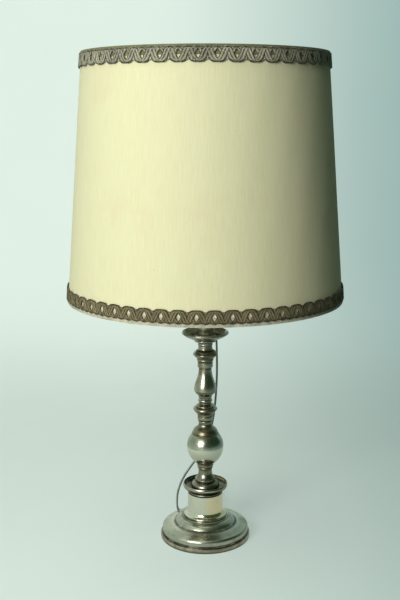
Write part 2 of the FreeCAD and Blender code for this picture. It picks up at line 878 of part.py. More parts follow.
# --- bulb
def make_bulb_cap():
    cap = turned(
        (0, BULB_TIP_H),
        (BULB_TIP_R, BULB_TIP_H),
        (BULB_CAP_R - 1.0, BULB_TIP_H + 3.0),
        (BULB_CAP_R, BULB_TIP_H + 4.0),
        (BULB_CAP_R, BULB_CAP_H),
        (BULB_CAP_R - 1.0, BULB_CAP_H),
        (BULB_CAP_R - 1.0, BULB_TIP_H + 5.0),
        (0, BULB_TIP_H + 5.0),
    )
    return at(cap, z=BULB_Z)


def make_bulb_tip():
    return at(Part.makeCylinder(BULB_TIP_R, BULB_TIP_H), z=BULB_Z)


def make_bulb_glass():
    """Pear-shaped envelope: a sphere that draws in to the neck above the cap."""
    centre = BULB_H - BULB_R
    lean = math.radians(38.0)
    low = BULB_CAP_H
    turn = (BULB_R * math.cos(lean), centre - BULB_R * math.sin(lean))
    top = (0.0, BULB_H)
    inner_r = BULB_R - GLASS_WALL
    inner_turn = (inner_r * math.cos(lean), centre - inner_r * math.sin(lean))
    inner_top = (0.0, BULB_H - GLASS_WALL)
    side = (BULB_R, centre)
    inner_side = (inner_r, centre)
    neck = (BULB_CAP_R + 0.6, low)
    inner_neck = (BULB_CAP_R - 0.4, low)
    return at(
        turned(
            inner_neck,
            neck,
            (*turn, -2.4),
            (*side, sagitta(BULB_R, turn, side)),
            (*top, sagitta(BULB_R, side, top)),
            inner_top,
            (*inner_side, -sagitta(inner_r, inner_side, inner_top)),
            (*inner_turn, -sagitta(inner_r, inner_turn, inner_side)),
            (*inner_neck, 2.4),
        ),
        z=BULB_Z,
    )


def make_bulb_stem():
    """Glass stem inside the envelope, with its flare on the cap's floor."""
    base = BULB_TIP_H + 5.0
    return at(
        turned(
            (0, base),
            (BULB_CAP_R - 2.0, base),
            (STEM_GLASS_R, base + 12.0, -2.0),
            (STEM_GLASS_R * 0.7, base + STEM_GLASS_H),
            (0, base + STEM_GLASS_H),
        ),
        z=BULB_Z,
    )


def make_bulb_filament():
    """Bar filament on two lead wires that rise from the stem."""
    foot = BULB_Z + BULB_TIP_H + 5.0 + STEM_GLASS_H
    rise = 9.0
    reach = FILAMENT_SPAN / 2
    root = STEM_GLASS_R * 0.4
    bar = Part.makeCylinder(FILAMENT_R, FILAMENT_SPAN, V(-reach, 0, foot + rise), V(1, 0, 0))
    for side in (-1, 1):
        low = V(side * root, 0, foot)
        lead = V(side * reach, 0, foot + rise) - low
        bar = bar.fuse(Part.makeCylinder(FILAMENT_R * 0.7, lead.Length, low, lead))
    return bar.cut(make_bulb_stem())


# --- shade carrier
def make_carrier_base():
    ring = tube(CARRIER_BASE_R, HOLDER_SHELL_R + TURN_CLEAR, CARRIER_PLATE)
    return at(ring, z=CARRIER_Z)


def make_carrier_arms():
    """Bent rods from the base ring, out round the bulb and up to the gallery."""
    low = CARRIER_Z + CARRIER_PLATE
    points = [
        V(CARRIER_FOOT_R, 0, low),
        V(CARRIER_FOOT_R, 0, low + ARM_SHOULDER_H),
        V(ARM_TOP_R, 0, low + ARM_SHOULDER_H + ARM_SPREAD_H),
        V(ARM_TOP_R, 0, GALLERY_Z),
    ]
    path, _ = rounded(points)
    section = Part.Wire(Part.makeCircle(ARM_R, points[0], UP))
    arm = path.makePipeShell([section], True, False)
    arms = []
    for i in range(ARM_COUNT):
        turned_arm = arm.copy()
        turned_arm.rotate(V(), UP, 90 + i * 360 / ARM_COUNT)
        arms.append(turned_arm)
    return group(arms)


def make_carrier_gallery():
    """Ring plate with an upright lip that centres the shade's fitting."""
    lip_in = GALLERY_LIP_R - GALLERY_LIP_WALL
    return at(
        turned(
            (GALLERY_HOLE_R, 0),
            (GALLERY_R, 0),
            (GALLERY_R, GALLERY_PLATE),
            (GALLERY_LIP_R, GALLERY_PLATE),
            (GALLERY_LIP_R, GALLERY_PLATE + GALLERY_LIP_H),
            (lip_in, GALLERY_PLATE + GALLERY_LIP_H),
            (lip_in, GALLERY_PLATE),
            (GALLERY_HOLE_R, GALLERY_PLATE),
        ),
        z=GALLERY_Z,
    )


# --- shade
def shade_r(z):
    """Outer radius of the cover at a height above the shade's lower edge."""
    return SHADE_BOTTOM_R + (SHADE_TOP_R - SHADE_BOTTOM_R) * z / SHADE_H


def cone_band(low, high, inner, outer):
    """Conical band between two heights and two offsets from the cover's outside."""
    return at(
        turned(
            (shade_r(low) + inner, low),
            (shade_r(low) + outer, low),
            (shade_r(high) + outer, high),
            (shade_r(high) + inner, high),
        ),
        z=SHADE_BOTTOM,
    )


def make_shade_cover():
    return cone_band(0, SHADE_H, -COVER_WALL, 0)


def make_shade_lining():
    return cone_band(0, SHADE_H, -COVER_WALL - LINING_WALL, -COVER_WALL)


def wire_place(z):
    """Radius of a ring wire's middle, against the inside of the lining."""
    return shade_r(z) - COVER_WALL - LINING_WALL - WIRE_R - SEAT_GAP


def ring_wire(z):
    return Part.makeTorus(wire_place(z), WIRE_R, V(0, 0, SHADE_BOTTOM + z))


def shade_arms(radius):
    """Sloping arms from the fitting ring out to the top ring."""
    top_z = SHADE_H - WIRE_R
    high = V(wire_place(top_z), 0, SHADE_BOTTOM + top_z)
    low_r = GALLERY_LIP_R + FITTING_CLEAR + FITTING_W - WIRE_R
    low = V(low_r, 0, FITTING_Z + FITTING_H / 2 + WIRE_R / 2)
    arms = []
    for i in range(ARM_COUNT):
        arm = Part.makeCylinder(radius, (high - low).Length, low, high - low)
        arm.rotate(V(), UP, 30 + i * 360 / ARM_COUNT)
        arms.append(arm)
    return arms


def make_shade_top_frame():
    """Top ring, sloping arms and the flat fitting ring, welded together."""
    inner = GALLERY_LIP_R + FITTING_CLEAR
    ring = at(tube(inner + FITTING_W, inner, FITTING_H), z=FITTING_Z)
    frame = ring.fuse([ring_wire(SHADE_H - WIRE_R), *shade_arms(WIRE_R)])
    floor = Part.makeCylinder(GALLERY_R + FITTING_W, WIRE_R * 2, V(0, 0, FITTING_Z - WIRE_R * 2))
    well = Part.makeCylinder(inner, WIRE_R * 4, V(0, 0, FITTING_Z))
    return frame.cut(floor).cut(well)


def make_shade_bottom_ring():
    return ring_wire(WIRE_R)


def binding(edge, inward):
    """Strip folded over an edge of the shade, round the ring wire behind it."""
    back = -COVER_WALL - LINING_WALL - 2 * WIRE_R - 2 * SEAT_GAP
    out_z = edge + inward * BINDING_OUTSIDE
    in_z = edge + inward * BINDING_INSIDE
    cap_z = edge - inward * BINDING_WALL
    gap = SEAT_GAP / 2
    points = [
        (shade_r(out_z) + gap, out_z),
        (shade_r(out_z) + BINDING_WALL, out_z),
        (shade_r(cap_z) + BINDING_WALL, cap_z),
        (shade_r(cap_z) + back - BINDING_WALL, cap_z),
        (shade_r(in_z) + back - BINDING_WALL, in_z),
        (shade_r(in_z) + back, in_z),
        (shade_r(edge) + back, edge - inward * gap),
        (shade_r(edge) + gap, edge - inward * gap),
    ]
    return at(turned(*points), z=SHADE_BOTTOM)


def make_top_binding():
    """Top strip, notched where the arms pass through its inner fold."""
    return binding(SHADE_H, -1).cut(shade_arms(WIRE_R + SEAT_GAP))


def make_bottom_binding():
    return binding(0, 1)


def make_top_braid():
    high = SHADE_H - TAPE_SHOWS
    return cone_band(high - BRAID_H, high, BINDING_WALL + SEAT_GAP, BINDING_WALL + BRAID_WALL)


def make_bottom_braid():
    return cone_band(HEM_SHOWS, HEM_SHOWS + BRAID_H, BINDING_WALL + SEAT_GAP, BINDING_WALL + BRAID_WALL)


# --- flex
def rounded(points, share=0.45):
    """Straight runs joined by the largest tangent arcs that share of the runs allows."""
    edges, radii = [], []
    here = points[0]
    for before, corner, after in zip(points, points[1:], points[2:]):
        into, out = corner - before, after - corner
        cut = share * min(into.Length, out.Length)
        into.normalize()
        out.normalize()
        half_turn = into.getAngle(out) / 2
        radius = cut / math.tan(half_turn)
        start, end = corner - into * cut, corner + out * cut
        inwards = (out - into).normalize()
        middle = corner + inwards * (radius / math.cos(half_turn) - radius)
        edges.append(Part.LineSegment(here, start).toShape())
        edges.append(Part.Arc(start, middle, end).toShape())
        radii.append(radius)
        here = end
    edges.append(Part.LineSegment(here, points[-1]).toShape())
    return Part.Wire(edges), radii


def flex_section(centre, direction):
    """Flat twin section, faceted, standing on its edge square to a direction."""
    thin = direction.cross(UP).normalize()
    wide = thin.cross(direction).normalize()
    corners = [(1, 0), (FLEX_FLAT, 1), (-FLEX_FLAT, 1), (-1, 0), (-FLEX_FLAT, -1), (FLEX_FLAT, -1)]
    points = [centre + wide * (FLEX_W / 2 * a) + thin * (FLEX_T / 2 * b) for a, b in corners]
    return Part.makePolygon([*points, points[0]])


def flex(name, path):
    """Flex along a path, whose volume is checked against its section times its length."""
    first = path.Edges[0]
    section = flex_section(first.valueAt(first.FirstParameter), first.tangentAt(first.FirstParameter))
    solid = path.makePipeShell([section], True, False)
    ideal = Part.Face(section).Area * path.Length
    print(f"{name}: {path.Length:.0f} mm long, volume {solid.Volume / ideal:.4f} of its section's")
    return solid


def biarc(p0, t0, p1, t1):
    """Two tangent arcs from a point and direction to another, as (start, direction, end)."""
    v = p1 - p0
    a = 2 * (1 - t0.dot(t1))
    b = 2 * v.dot(t0 + t1)
    c = -v.dot(v)
    reach = -c / b if a < 1e-9 else (-b + math.sqrt(b * b - 4 * a * c)) / (2 * a)
    q0, q1 = p0 + t0 * reach, p1 - t1 * reach
    joint = (q0 + q1) * 0.5
    return (p0, t0, joint), (joint, (q1 - q0).normalize(), p1)


def tangent_arc(start, direction, end):
    chord = end - start
    turn = direction.getAngle(chord)
    if turn < 1e-6:
        return Part.LineSegment(start, end).toShape(), math.inf
    inwards = (chord * (direction.dot(chord) / chord.dot(chord)) - direction).normalize()
    middle = (start + end) * 0.5 - inwards * (chord.Length / 2 * math.tan(turn / 2))
    return Part.Arc(start, middle, end).toShape(), chord.Length / (2 * math.sin(turn))


def hank_node(i):
    """Place and direction at the i-th eighth of a turn, spiralling in and then out again."""
    reverse = round(TURNS_IN * 8)
    inward = TURNS_IN - abs(i - reverse) / 8
    r = HANK_END_R - HANK_PITCH * inward
    waist = HANK_WAIST - WAIST_PITCH * inward
    z = HANK_LIFT + (LAYER_RISE if i > reverse else 0.0)
    x, y, along_x, along_y = [
        (-r, -HANK_HALF_RUN, 0, 1),
        (-waist, 0, 0, 1),
        (-r, HANK_HALF_RUN, 0, 1),
        (0, HANK_HALF_RUN + r, 1, 0),
        (r, HANK_HALF_RUN, 0, -1),
        (waist, 0, 0, -1),
        (r, -HANK_HALF_RUN, 0, -1),
        (0, -HANK_HALF_RUN - r, -1, 0),
    ][i % 8]
    return V(x, HANK_MID_Y + y, z), V(along_x, along_y, 0)


def hank_nodes():
    return [hank_node(i) for i in range(round((TURNS_IN + TURNS_OUT) * 8) + 1)]


def least_gap(points):
    """Least clear distance between two turns of the flat flex that stands on its edge."""
    far = 10 * FLEX_W
    along = [0.0]
    for a, b in zip(points, points[1:]):
        along.append(along[-1] + (b - a).Length)
    gaps = [
        max(math.hypot(a.x - b.x, a.y - b.y) - FLEX_T, abs(a.z - b.z) - FLEX_W)
        for i, a in enumerate(points)
        for j, b in enumerate(points[:i])
        if along[i] - along[j] > far
    ]
    return min(gaps)


def drop_points():
    """Route of the free flex: out over the pan, down behind the stem, on to the floor."""
    start = outlet_axis() * BUSH_REACH + UP * OUTLET_Z
    hank_start = hank_nodes()[0][0]
    return [
        start,
        start + outlet_axis() * 13.0,
        V(15.2, 41.5, 346.5),
        V(16.2, 45.0, 322.0),
        V(17.5, 43.2, 288.0),
        V(18.2, 42.0, 252.0),
        V(17.0, 41.5, 216.0),
        V(13.6, 41.0, 181.0),
        V(7.2, 40.6, 149.0),
        V(-4.5, 41.0, 121.0),
        V(-20.0, 42.6, 97.5),
        V(-34.0, 47.5, 75.0),
        V(-42.8, 54.5, 51.0),
        V(-45.4, 60.8, 31.5),
        V(-44.0, 67.0, 14.0),
        V(-36.0, 77.0, HANK_LIFT - 0.1),
        hank_start - V(0, FLEX_W + 14.8, 0),
        hank_start - V(0, FLEX_W, 0),
    ]


def tail_points():
    """From the hank's end, round and up over its loops, back to the plug's sleeve."""
    end = hank_nodes()[-1][0] - V(0, FLEX_W, 0)
    half = (end.x - PLUG_X) / 2
    mid = end.x - half
    side = half * math.tan(math.radians(22.5))
    centre_y = end.y - 7.6
    return [
        end,
        V(end.x, centre_y - side, end.z),
        V(mid + side, centre_y - half, end.z + 4.0),
        V(mid - side, centre_y - half, end.z + 7.6),
        V(PLUG_X, centre_y - side, plug_z()),
        V(PLUG_X, PLUG_BACK_Y - SLEEVE_L, plug_z()),
    ]


def make_cord_drop():
    path, radii = rounded(drop_points())
    print("drop radii", [round(r, 1) for r in radii])
    return flex("cord_drop", path)


def make_cord_hank():
    """Flat flex on its edge, wound in two layers of nested loops drawn in at the waist."""
    nodes = hank_nodes()
    first, last = nodes[0], nodes[-1]
    edges = [Part.LineSegment(first[0] - first[1] * FLEX_W, first[0]).toShape()]
    radii = []
    for (p0, t0), (p1, t1) in zip(nodes, nodes[1:]):
        for part in biarc(p0, t0, p1, t1):
            edge, radius = tangent_arc(*part)
            edges.append(edge)
            radii.append(radius)
    edges.append(Part.LineSegment(last[0], last[0] + last[1] * FLEX_W).toShape())
    points = []
    for edge in edges:
        points += edge.discretize(Number=max(3, int(edge.Length / 2)))[:-1]
    print(f"hank: least radius {min(radii):.1f} mm, least gap to itself {least_gap(points):.2f} mm")
    return flex("cord_hank", Part.Wire(edges))


def make_cord_tail():
    path, radii = rounded(tail_points())
    print("tail radii", [round(r, 1) for r in radii])
    return flex("cord_tail", path)


def make_hank_tie():
    """Band round the hank's waist."""
    widest = max(abs(place.x) for place, way in hank_nodes() if abs(place.y - HANK_MID_Y) < TIE_W)
    half_x = widest + FLEX_T / 2 + TIE_GAP
    low = HANK_LIFT - FLEX_W / 2 - TIE_GAP
    high = HANK_LIFT + LAYER_RISE + FLEX_W / 2 + TIE_GAP
    outer = Part.makeBox(
        2 * (half_x + TIE_THICK),
        TIE_W,
        high - low + 2 * TIE_THICK,
        V(-half_x - TIE_THICK, HANK_MID_Y - TIE_W / 2, low - TIE_THICK),
    )
    corners = [e for e in outer.Edges if abs(e.tangentAt(e.FirstParameter).y) > 0.9]
    outer = outer.makeFillet(2 * TIE_THICK, corners)
    inner = Part.makeBox(2 * half_x, TIE_W, high - low, V(-half_x, HANK_MID_Y - TIE_W / 2, low))
    return outer.cut(inner)


# --- plug
def plug_z():
    """Height of the plug's middle, lying on the hank's tie."""
    tie_top = HANK_LIFT + LAYER_RISE + FLEX_W / 2 + TIE_GAP + TIE_THICK
    return tie_top + TIE_GAP + PLUG_T / 2


def make_plug_body():
    """Flat two-pin body: wide and straight at the face, drawn in towards the flex."""
    back = PLUG_BACK_Y
    face = back + PLUG_L
    mid = back + PLUG_NOSE_L
    half, waist = PLUG_W / 2, PLUG_WAIST_W / 2
    bow = (half - waist) * 0.14
    low = plug_z() - PLUG_T / 2
    corners = [
        V(PLUG_X - half, face, low),
        V(PLUG_X + half, face, low),
        V(PLUG_X + half, mid, low),
        V(PLUG_X + waist, back, low),
        V(PLUG_X - waist, back, low),
        V(PLUG_X - half, mid, low),
    ]
    bows = [
        V(PLUG_X + (half + waist) / 2 + bow, (mid + back) / 2 - bow, low),
        V(PLUG_X - (half + waist) / 2 - bow, (mid + back) / 2 - bow, low),
    ]
    wire = Part.Wire(
        [
            Part.LineSegment(corners[0], corners[1]).toShape(),
            Part.LineSegment(corners[1], corners[2]).toShape(),
            Part.Arc(corners[2], bows[0], corners[3]).toShape(),
            Part.LineSegment(corners[3], corners[4]).toShape(),
            Part.Arc(corners[4], bows[1], corners[5]).toShape(),
            Part.LineSegment(corners[5], corners[0]).toShape(),
        ]
    )
    body = Part.Face(wire).extrude(V(0, 0, PLUG_T))
    long_edges = [e for e in body.Edges if abs(e.tangentAt(e.FirstParameter).y) > 0.99]
    return body.makeFillet(PLUG_T * 0.25, long_edges)


def make_plug_pins():
    face = PLUG_BACK_Y + PLUG_L
    pins = []
    for side in (-1, 1):
        place = V(PLUG_X + side * PIN_SPACING / 2, face, plug_z())
        pin = Part.makeCylinder(PIN_R, PIN_L - PIN_R, place, V(0, 1, 0))
        tip = Part.makeSphere(PIN_R, place + V(0, PIN_L - PIN_R, 0))
        pins.append(pin.fuse(tip).removeSplitter())
    return group(pins)


def make_plug_sleeve():
    """Tapered strain relief between the plug and the flex."""
    taper = Part.makeCone(
        SLEEVE_BACK_R,
        FLEX_W / 2 + 0.6,
        SLEEVE_L,
        V(PLUG_X, PLUG_BACK_Y, plug_z()),
        V(0, -1, 0),
    )
    return taper


MAKERS = {
    "felt_pad": make_felt_pad,
    "foot_shell": make_foot_shell,
    "foot_weight": make_foot_weight,
    "foot_washer": make_foot_washer,
    "foot_nut": make_foot_nut,
    "tie_rod": make_tie_rod,
    "drum": make_drum,
    "drum_moulding": make_drum_moulding,
    "drip_dish": make_drip_dish,
    "stem_spool": make_stem_spool,
    "ball_seat": make_ball_seat,
    "ball_lower_half": make_ball_lower,
    "ball_upper_half": make_ball_upper,
    "bell_cap": make_bell_cap,
    "lower_collar": make_lower_collar,
    "lower_knop": make_lower_knop,
    "bead_ring": make_bead_ring,
    "baluster": make_baluster,
    "upper_collar": make_upper_collar,
    "upper_knop": make_upper_knop,
    "pan_neck": make_pan_neck,
    "drip_pan": make_drip_pan,
    "candle_nozzle": make_candle_nozzle,
    "rod_nut": make_rod_nut,
    "adapter_sleeve": make_adapter_sleeve,
    "adapter_body": make_adapter_body,
    "cord_bush": make_cord_bush,
    "holder_nipple": make_holder_nipple,
    "holder_cap": make_holder_cap,
    "holder_shell": make_holder_shell,
    "holder_insert": make_holder_insert,
    "contact_shell": make_contact_shell,
    "contact_centre": make_contact_centre,
    "terminal_screws": make_terminal_screws,
    "key_shaft": make_key_shaft,
    "switch_key": make_switch_key,
    "ring_nut": make_ring_nut,
    "bulb_tip": make_bulb_tip,
    "bulb_cap": make_bulb_cap,
    "bulb_glass": make_bulb_glass,
    "bulb_stem": make_bulb_stem,
    "bulb_filament": make_bulb_filament,
    "carrier_base": make_carrier_base,
    "carrier_arms": make_carrier_arms,
    "carrier_gallery": make_carrier_gallery,
    "shade_top_frame": make_shade_top_frame,
    "shade_bottom_ring": make_shade_bottom_ring,
    "shade_lining": make_shade_lining,
    "shade_cover": make_shade_cover,
    "top_binding": make_top_binding,
    "bottom_binding": make_bottom_binding,
    "top_braid": make_top_braid,
    "bottom_braid": make_bottom_braid,
    "cord_drop": make_cord_drop,
    "cord_hank": make_cord_hank,
    "cord_tail": make_cord_tail,
    "hank_tie": make_hank_tie,
    "plug_body": make_plug_body,
    "plug_pins": make_plug_pins,
    "plug_sleeve": make_plug_sleeve,
}


def main():
    os.makedirs("parts", exist_ok=True)
    for name, make in MAKERS.items():
        make().exportStep(f"parts/{name}.step")
    print(f"pan rim at {PAN_Z + PAN_H:.1f}, shade from {SHADE_BOTTOM:.1f} to {SHADE_TOP:.1f}")


main()
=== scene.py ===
"""Candlestick table lamp: the looks of its pieces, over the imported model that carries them."""

import math

import bpy
import numpy as np
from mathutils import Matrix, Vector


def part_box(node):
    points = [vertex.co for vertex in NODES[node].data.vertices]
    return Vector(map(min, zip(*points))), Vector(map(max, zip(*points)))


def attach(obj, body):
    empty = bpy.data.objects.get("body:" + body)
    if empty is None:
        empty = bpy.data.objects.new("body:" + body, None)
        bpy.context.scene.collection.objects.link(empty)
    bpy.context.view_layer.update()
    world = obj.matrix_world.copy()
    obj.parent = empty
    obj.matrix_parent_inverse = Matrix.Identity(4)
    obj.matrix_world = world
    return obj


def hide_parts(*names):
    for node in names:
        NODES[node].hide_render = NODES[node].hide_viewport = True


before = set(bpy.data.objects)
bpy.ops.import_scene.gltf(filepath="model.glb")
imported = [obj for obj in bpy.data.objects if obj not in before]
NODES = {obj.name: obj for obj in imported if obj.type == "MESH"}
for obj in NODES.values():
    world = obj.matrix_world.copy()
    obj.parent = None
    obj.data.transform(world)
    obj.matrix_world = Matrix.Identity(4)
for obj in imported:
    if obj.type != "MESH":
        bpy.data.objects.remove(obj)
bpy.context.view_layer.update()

bl_info = {
    "name": "Candlestick table lamp",
    "version": (1, 0, 0),
    "blender": (4, 5, 0),
    "location": "3D View > Sidebar > Lamp",
    "description": "Dresses a silver-plated candlestick lamp with a braided drum shade and a flat flex",
    "category": "Object",
}

TAU = 2 * np.pi

SILVER_PIECES = (
    "foot_shell", "drum", "drum_moulding", "drip_dish", "stem_spool", "ball_seat", "ball_lower_half",
    "ball_upper_half", "bell_cap", "lower_collar", "lower_knop", "bead_ring", "baluster", "upper_collar",
    "upper_knop", "pan_neck", "drip_pan", "candle_nozzle",
)
BRASS_PIECES = (
    "adapter_body", "holder_cap", "holder_shell", "ring_nut", "contact_shell", "contact_centre", "switch_key",
)
STEEL_PIECES = (
    "tie_rod", "rod_nut", "foot_nut", "foot_washer", "holder_nipple", "terminal_screws", "key_shaft",
)
WIRE_PIECES = ("carrier_base", "carrier_arms", "carrier_gallery", "shade_top_frame", "shade_bottom_ring")


# --- settings that a user would change
def length(label, words, default):
    return bpy.props.FloatProperty(name=label, description=words, default=default, unit="LENGTH", precision=4)


def watts(label, words, default):
    return bpy.props.FloatProperty(name=label, description=words, default=default, unit="POWER")


def number(label, words, default):
    return bpy.props.FloatProperty(name=label, description=words, default=default)


def count(label, words, default):
    return bpy.props.IntProperty(name=label, description=words, default=default)


def colour(label, words, default):
    return bpy.props.FloatVectorProperty(
        name=label, description=words, default=default, size=3, min=0, max=1, subtype="COLOR"
    )


class ViewSettings(bpy.types.PropertyGroup):
    """Where the lamp is seen from."""

    distance: length("Distance", "How far in front of the lamp's axis the camera stands", 1.3122)
    height: length("Height", "How high the camera stands above the table", 0.6343)
    tilt: bpy.props.FloatProperty(
        name="Tilt", description="How far the camera looks down", subtype="ANGLE",
        default=math.radians(11.4614),
    )
    focal: number("Focal length", "Lens on a frame 36 mm high, in millimetres", 54.93)
    shift: number("Shift", "Sideways shift, as a share of the frame's height", -0.0087)


class FlexSettings(bpy.types.PropertyGroup):
    """Flat twin flex from the candle socket to the plug."""

    width: length("Width", "Width across both cores", 0.0050)
    thickness: length("Thickness", "Thickness through one core", 0.0025)
    waist: length("Waist", "Thickness of the web between the cores", 0.0013)
    real_length: length("Length", "Length from the bush to the plug's sleeve", 1.80)
    hank_start: length("Hank start", "How far behind the axis the hank's outermost run begins", 0.109)
    half_run: length("Half run", "Half the distance between the middles of the hank's ends", 0.0246)
    end_radius: length("End radius", "Outermost bend at each end of the hank", 0.0236)
    waist_half: length("Waist half", "Outermost run's distance from the middle, under the tie", 0.0192)
    pitch: length("Pitch", "Step from one loop to the next, at the ends", 0.0033)
    waist_pitch: length("Waist pitch", "Step from one loop to the next, at the waist", 0.0042)
    lift: length("Lift", "Height of the lower layer's middle", 0.0039)
    rise: length("Rise", "Height from the lower layer to the upper", 0.0055)
    turns_in: number("Turns in", "Turns from the outside to the middle", 2.5)
    turns_out: number("Turns out", "Turns from the middle to the end", 3.25)
    tint: colour("Tint", "Colour of the flex", (0.27, 0.33, 0.29))


class SilverSettings(bpy.types.PropertyGroup):
    """Silver plate of the candlestick."""

    plate: colour("Plate", "Clean plate", (0.70, 0.68, 0.56))
    patina: colour("Patina", "Thin warm tarnish", (0.34, 0.30, 0.17))
    groove: colour("Groove", "Old tarnish in the grooves", (0.045, 0.038, 0.020))
    copper: colour("Copper", "Base metal where the plate is rubbed through", (0.44, 0.27, 0.15))
    brown: colour("Brown", "Mottled brown of the foot's rim", (0.23, 0.175, 0.105))
    # Painted reflection: the warm beige painted on the right side of the drum's plate.
    painted_warm_reflection: colour("Beige", "Warm bloom on the right of the drum", (0.88, 0.70, 0.42))
    # Painted reflection: the dark green painted on the ball's crown and in bands on the foot.
    painted_green_reflection: colour("Verdigris", "Dark green bloom of the ball's crown", (0.115, 0.155, 0.110))


class ShadeSettings(bpy.types.PropertyGroup):
    """Cloth, tapes and braids of the shade."""

    bottom_radius: length("Bottom radius", "Outside of the cloth at the lower edge", 0.1983)
    top_radius: length("Top radius", "Outside of the cloth at the upper edge", 0.1712)
    bottom: length("Lower edge", "Height of the lower edge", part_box("shade_cover")[0].z)
    tall: length("Height", "Height of the cloth", 0.344)
    wall: length("Wall", "Thickness of the cloth on its card", 0.0008)
    seam: length("Seam", "Overlap of the cloth at the back", 0.009)
    cloth: colour("Cloth", "Sun-faded cream cloth", (0.80, 0.775, 0.485))
    lining: colour("Lining", "Off-white lining", (0.84, 0.82, 0.72))
    tape: colour("Top tape", "Olive tape over the upper edge", (0.20, 0.195, 0.085))
    hem: colour("Hem tape", "Pale tape over the lower edge", (0.60, 0.57, 0.41))
    thread: colour("Braid thread", "Dark outline threads of the braids", (0.030, 0.029, 0.013))
    glint: colour("Upper glint", "Pale threads of the upper braid", (0.66, 0.63, 0.46))
    bronze: colour("Lower glint", "Pale threads of the lower braid", (0.36, 0.29, 0.145))
    top_width: length("Top braid width", "Width of the upper braid", 0.0205)
    bottom_width: length("Bottom braid width", "Width of the lower braid", 0.0190)
    thread_radius: length("Thread radius", "Radius of one thread", 0.00052)
    top_lobes: count("Top lobes", "Lobes round the upper braid", 46)
    bottom_lobes: count("Bottom lobes", "Lobes round the lower braid", 55)


class StageSettings(bpy.types.PropertyGroup):
    """Table, backdrop and studio light."""

    paper: colour("Paper", "Pale table and backdrop", (0.78, 0.89, 0.82))
    shaded_paper: colour("Shaded paper", "The backdrop to the right", (0.35, 0.50, 0.48))
    dusk: colour("Dusk", "Unlit side of the studio, to the right", (0.044, 0.098, 0.050))
    sky: colour("Sky", "Lit side of the studio, to the left and behind", (0.74, 0.92, 0.78))
    fill: colour("Fill", "Tint of the light overhead", (0.88, 1.0, 0.82))
    matte: number("Matte", "Share of the paper's colour that scatters light", 0.5)
    glow_floor: number("Table glow", "Paper's own light on the table", 0.52)
    glow_wall: number("Wall glow", "Paper's own light on the wall", 0.75)
    key: watts("Key light", "Power of the large left light", 36.0)
    top: watts("Top light", "Power of the large light overhead", 16.0)
    ambient: number("Ambient", "Strength of the studio's own light", 0.16)
    reflected: number("Reflected", "Strength of the studio as the camera and reflections see it", 0.80)


class LampSettings(bpy.types.PropertyGroup):
    """All the lamp's settings."""

    view: bpy.props.PointerProperty(type=ViewSettings)
    flex: bpy.props.PointerProperty(type=FlexSettings)
    silver: bpy.props.PointerProperty(type=SilverSettings)
    shade: bpy.props.PointerProperty(type=ShadeSettings)
    stage: bpy.props.PointerProperty(type=StageSettings)


def settings():
    return bpy.context.scene.lamp


# --- meshes from arrays
def weave_mesh(name, points, close_rows=False, close_columns=False, uv=None):
    """A mesh over grids of points, shape (grids, rows, columns, 3), as quads between neighbours.

    Rows, columns or both may join up with their first. uv has two numbers for each point, and a row or
    column more than points where they join up, so that a pattern runs on over the join.
    """
    points = np.asarray(points, float)
    points = points[None] if points.ndim == 3 else points
    index = np.arange(points.size // 3).reshape(points.shape[:3])
    index = np.concatenate([index, index[:, :1]], axis=1) if close_rows else index
    index = np.concatenate([index, index[:, :, :1]], axis=2) if close_columns else index
    quads = corners(index)
    mesh = bpy.data.meshes.new(name)
    mesh.vertices.add(points.size // 3)
    mesh.vertices.foreach_set("co", points.astype(np.float32).ravel())
    mesh.loops.add(quads.size)
    mesh.loops.foreach_set("vertex_index", quads.ravel())
    mesh.polygons.add(len(quads))
    mesh.polygons.foreach_set("loop_start", np.arange(0, quads.size, 4, dtype=np.int32))
    mesh.polygons.foreach_set("use_smooth", np.ones(len(quads), bool))
    if uv is not None:
        uv = np.broadcast_to(uv, index.shape + (2,)).astype(np.float32)
        places = corners(np.arange(index.size).reshape(index.shape))
        mesh.uv_layers.new(name="surface").data.foreach_set("uv", uv.reshape(-1, 2)[places.ravel()].ravel())
    mesh.update()
    mesh.validate()
    return mesh


def corners(index):
    """The four corners of every quad between neighbours in grids of numbers."""
    around = (index[:, :-1, :-1], index[:, 1:, :-1], index[:, 1:, 1:], index[:, :-1, 1:])
    return np.stack(around, axis=-1).reshape(-1, 4).astype(np.int32)


def place(mesh, body, material, slot, *nodes):
    """Puts a mesh into the scene at the origin, on a body, in the place of CAD nodes."""
    piece = bpy.data.objects.new(mesh.name, mesh)
    bpy.context.scene.collection.objects.link(piece)
    mesh.materials.append(material)
    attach(piece, body)
    if nodes:
        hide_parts(*nodes)
    return piece


def unit(v):
    return v / np.linalg.norm(v, axis=-1, keepdims=True)


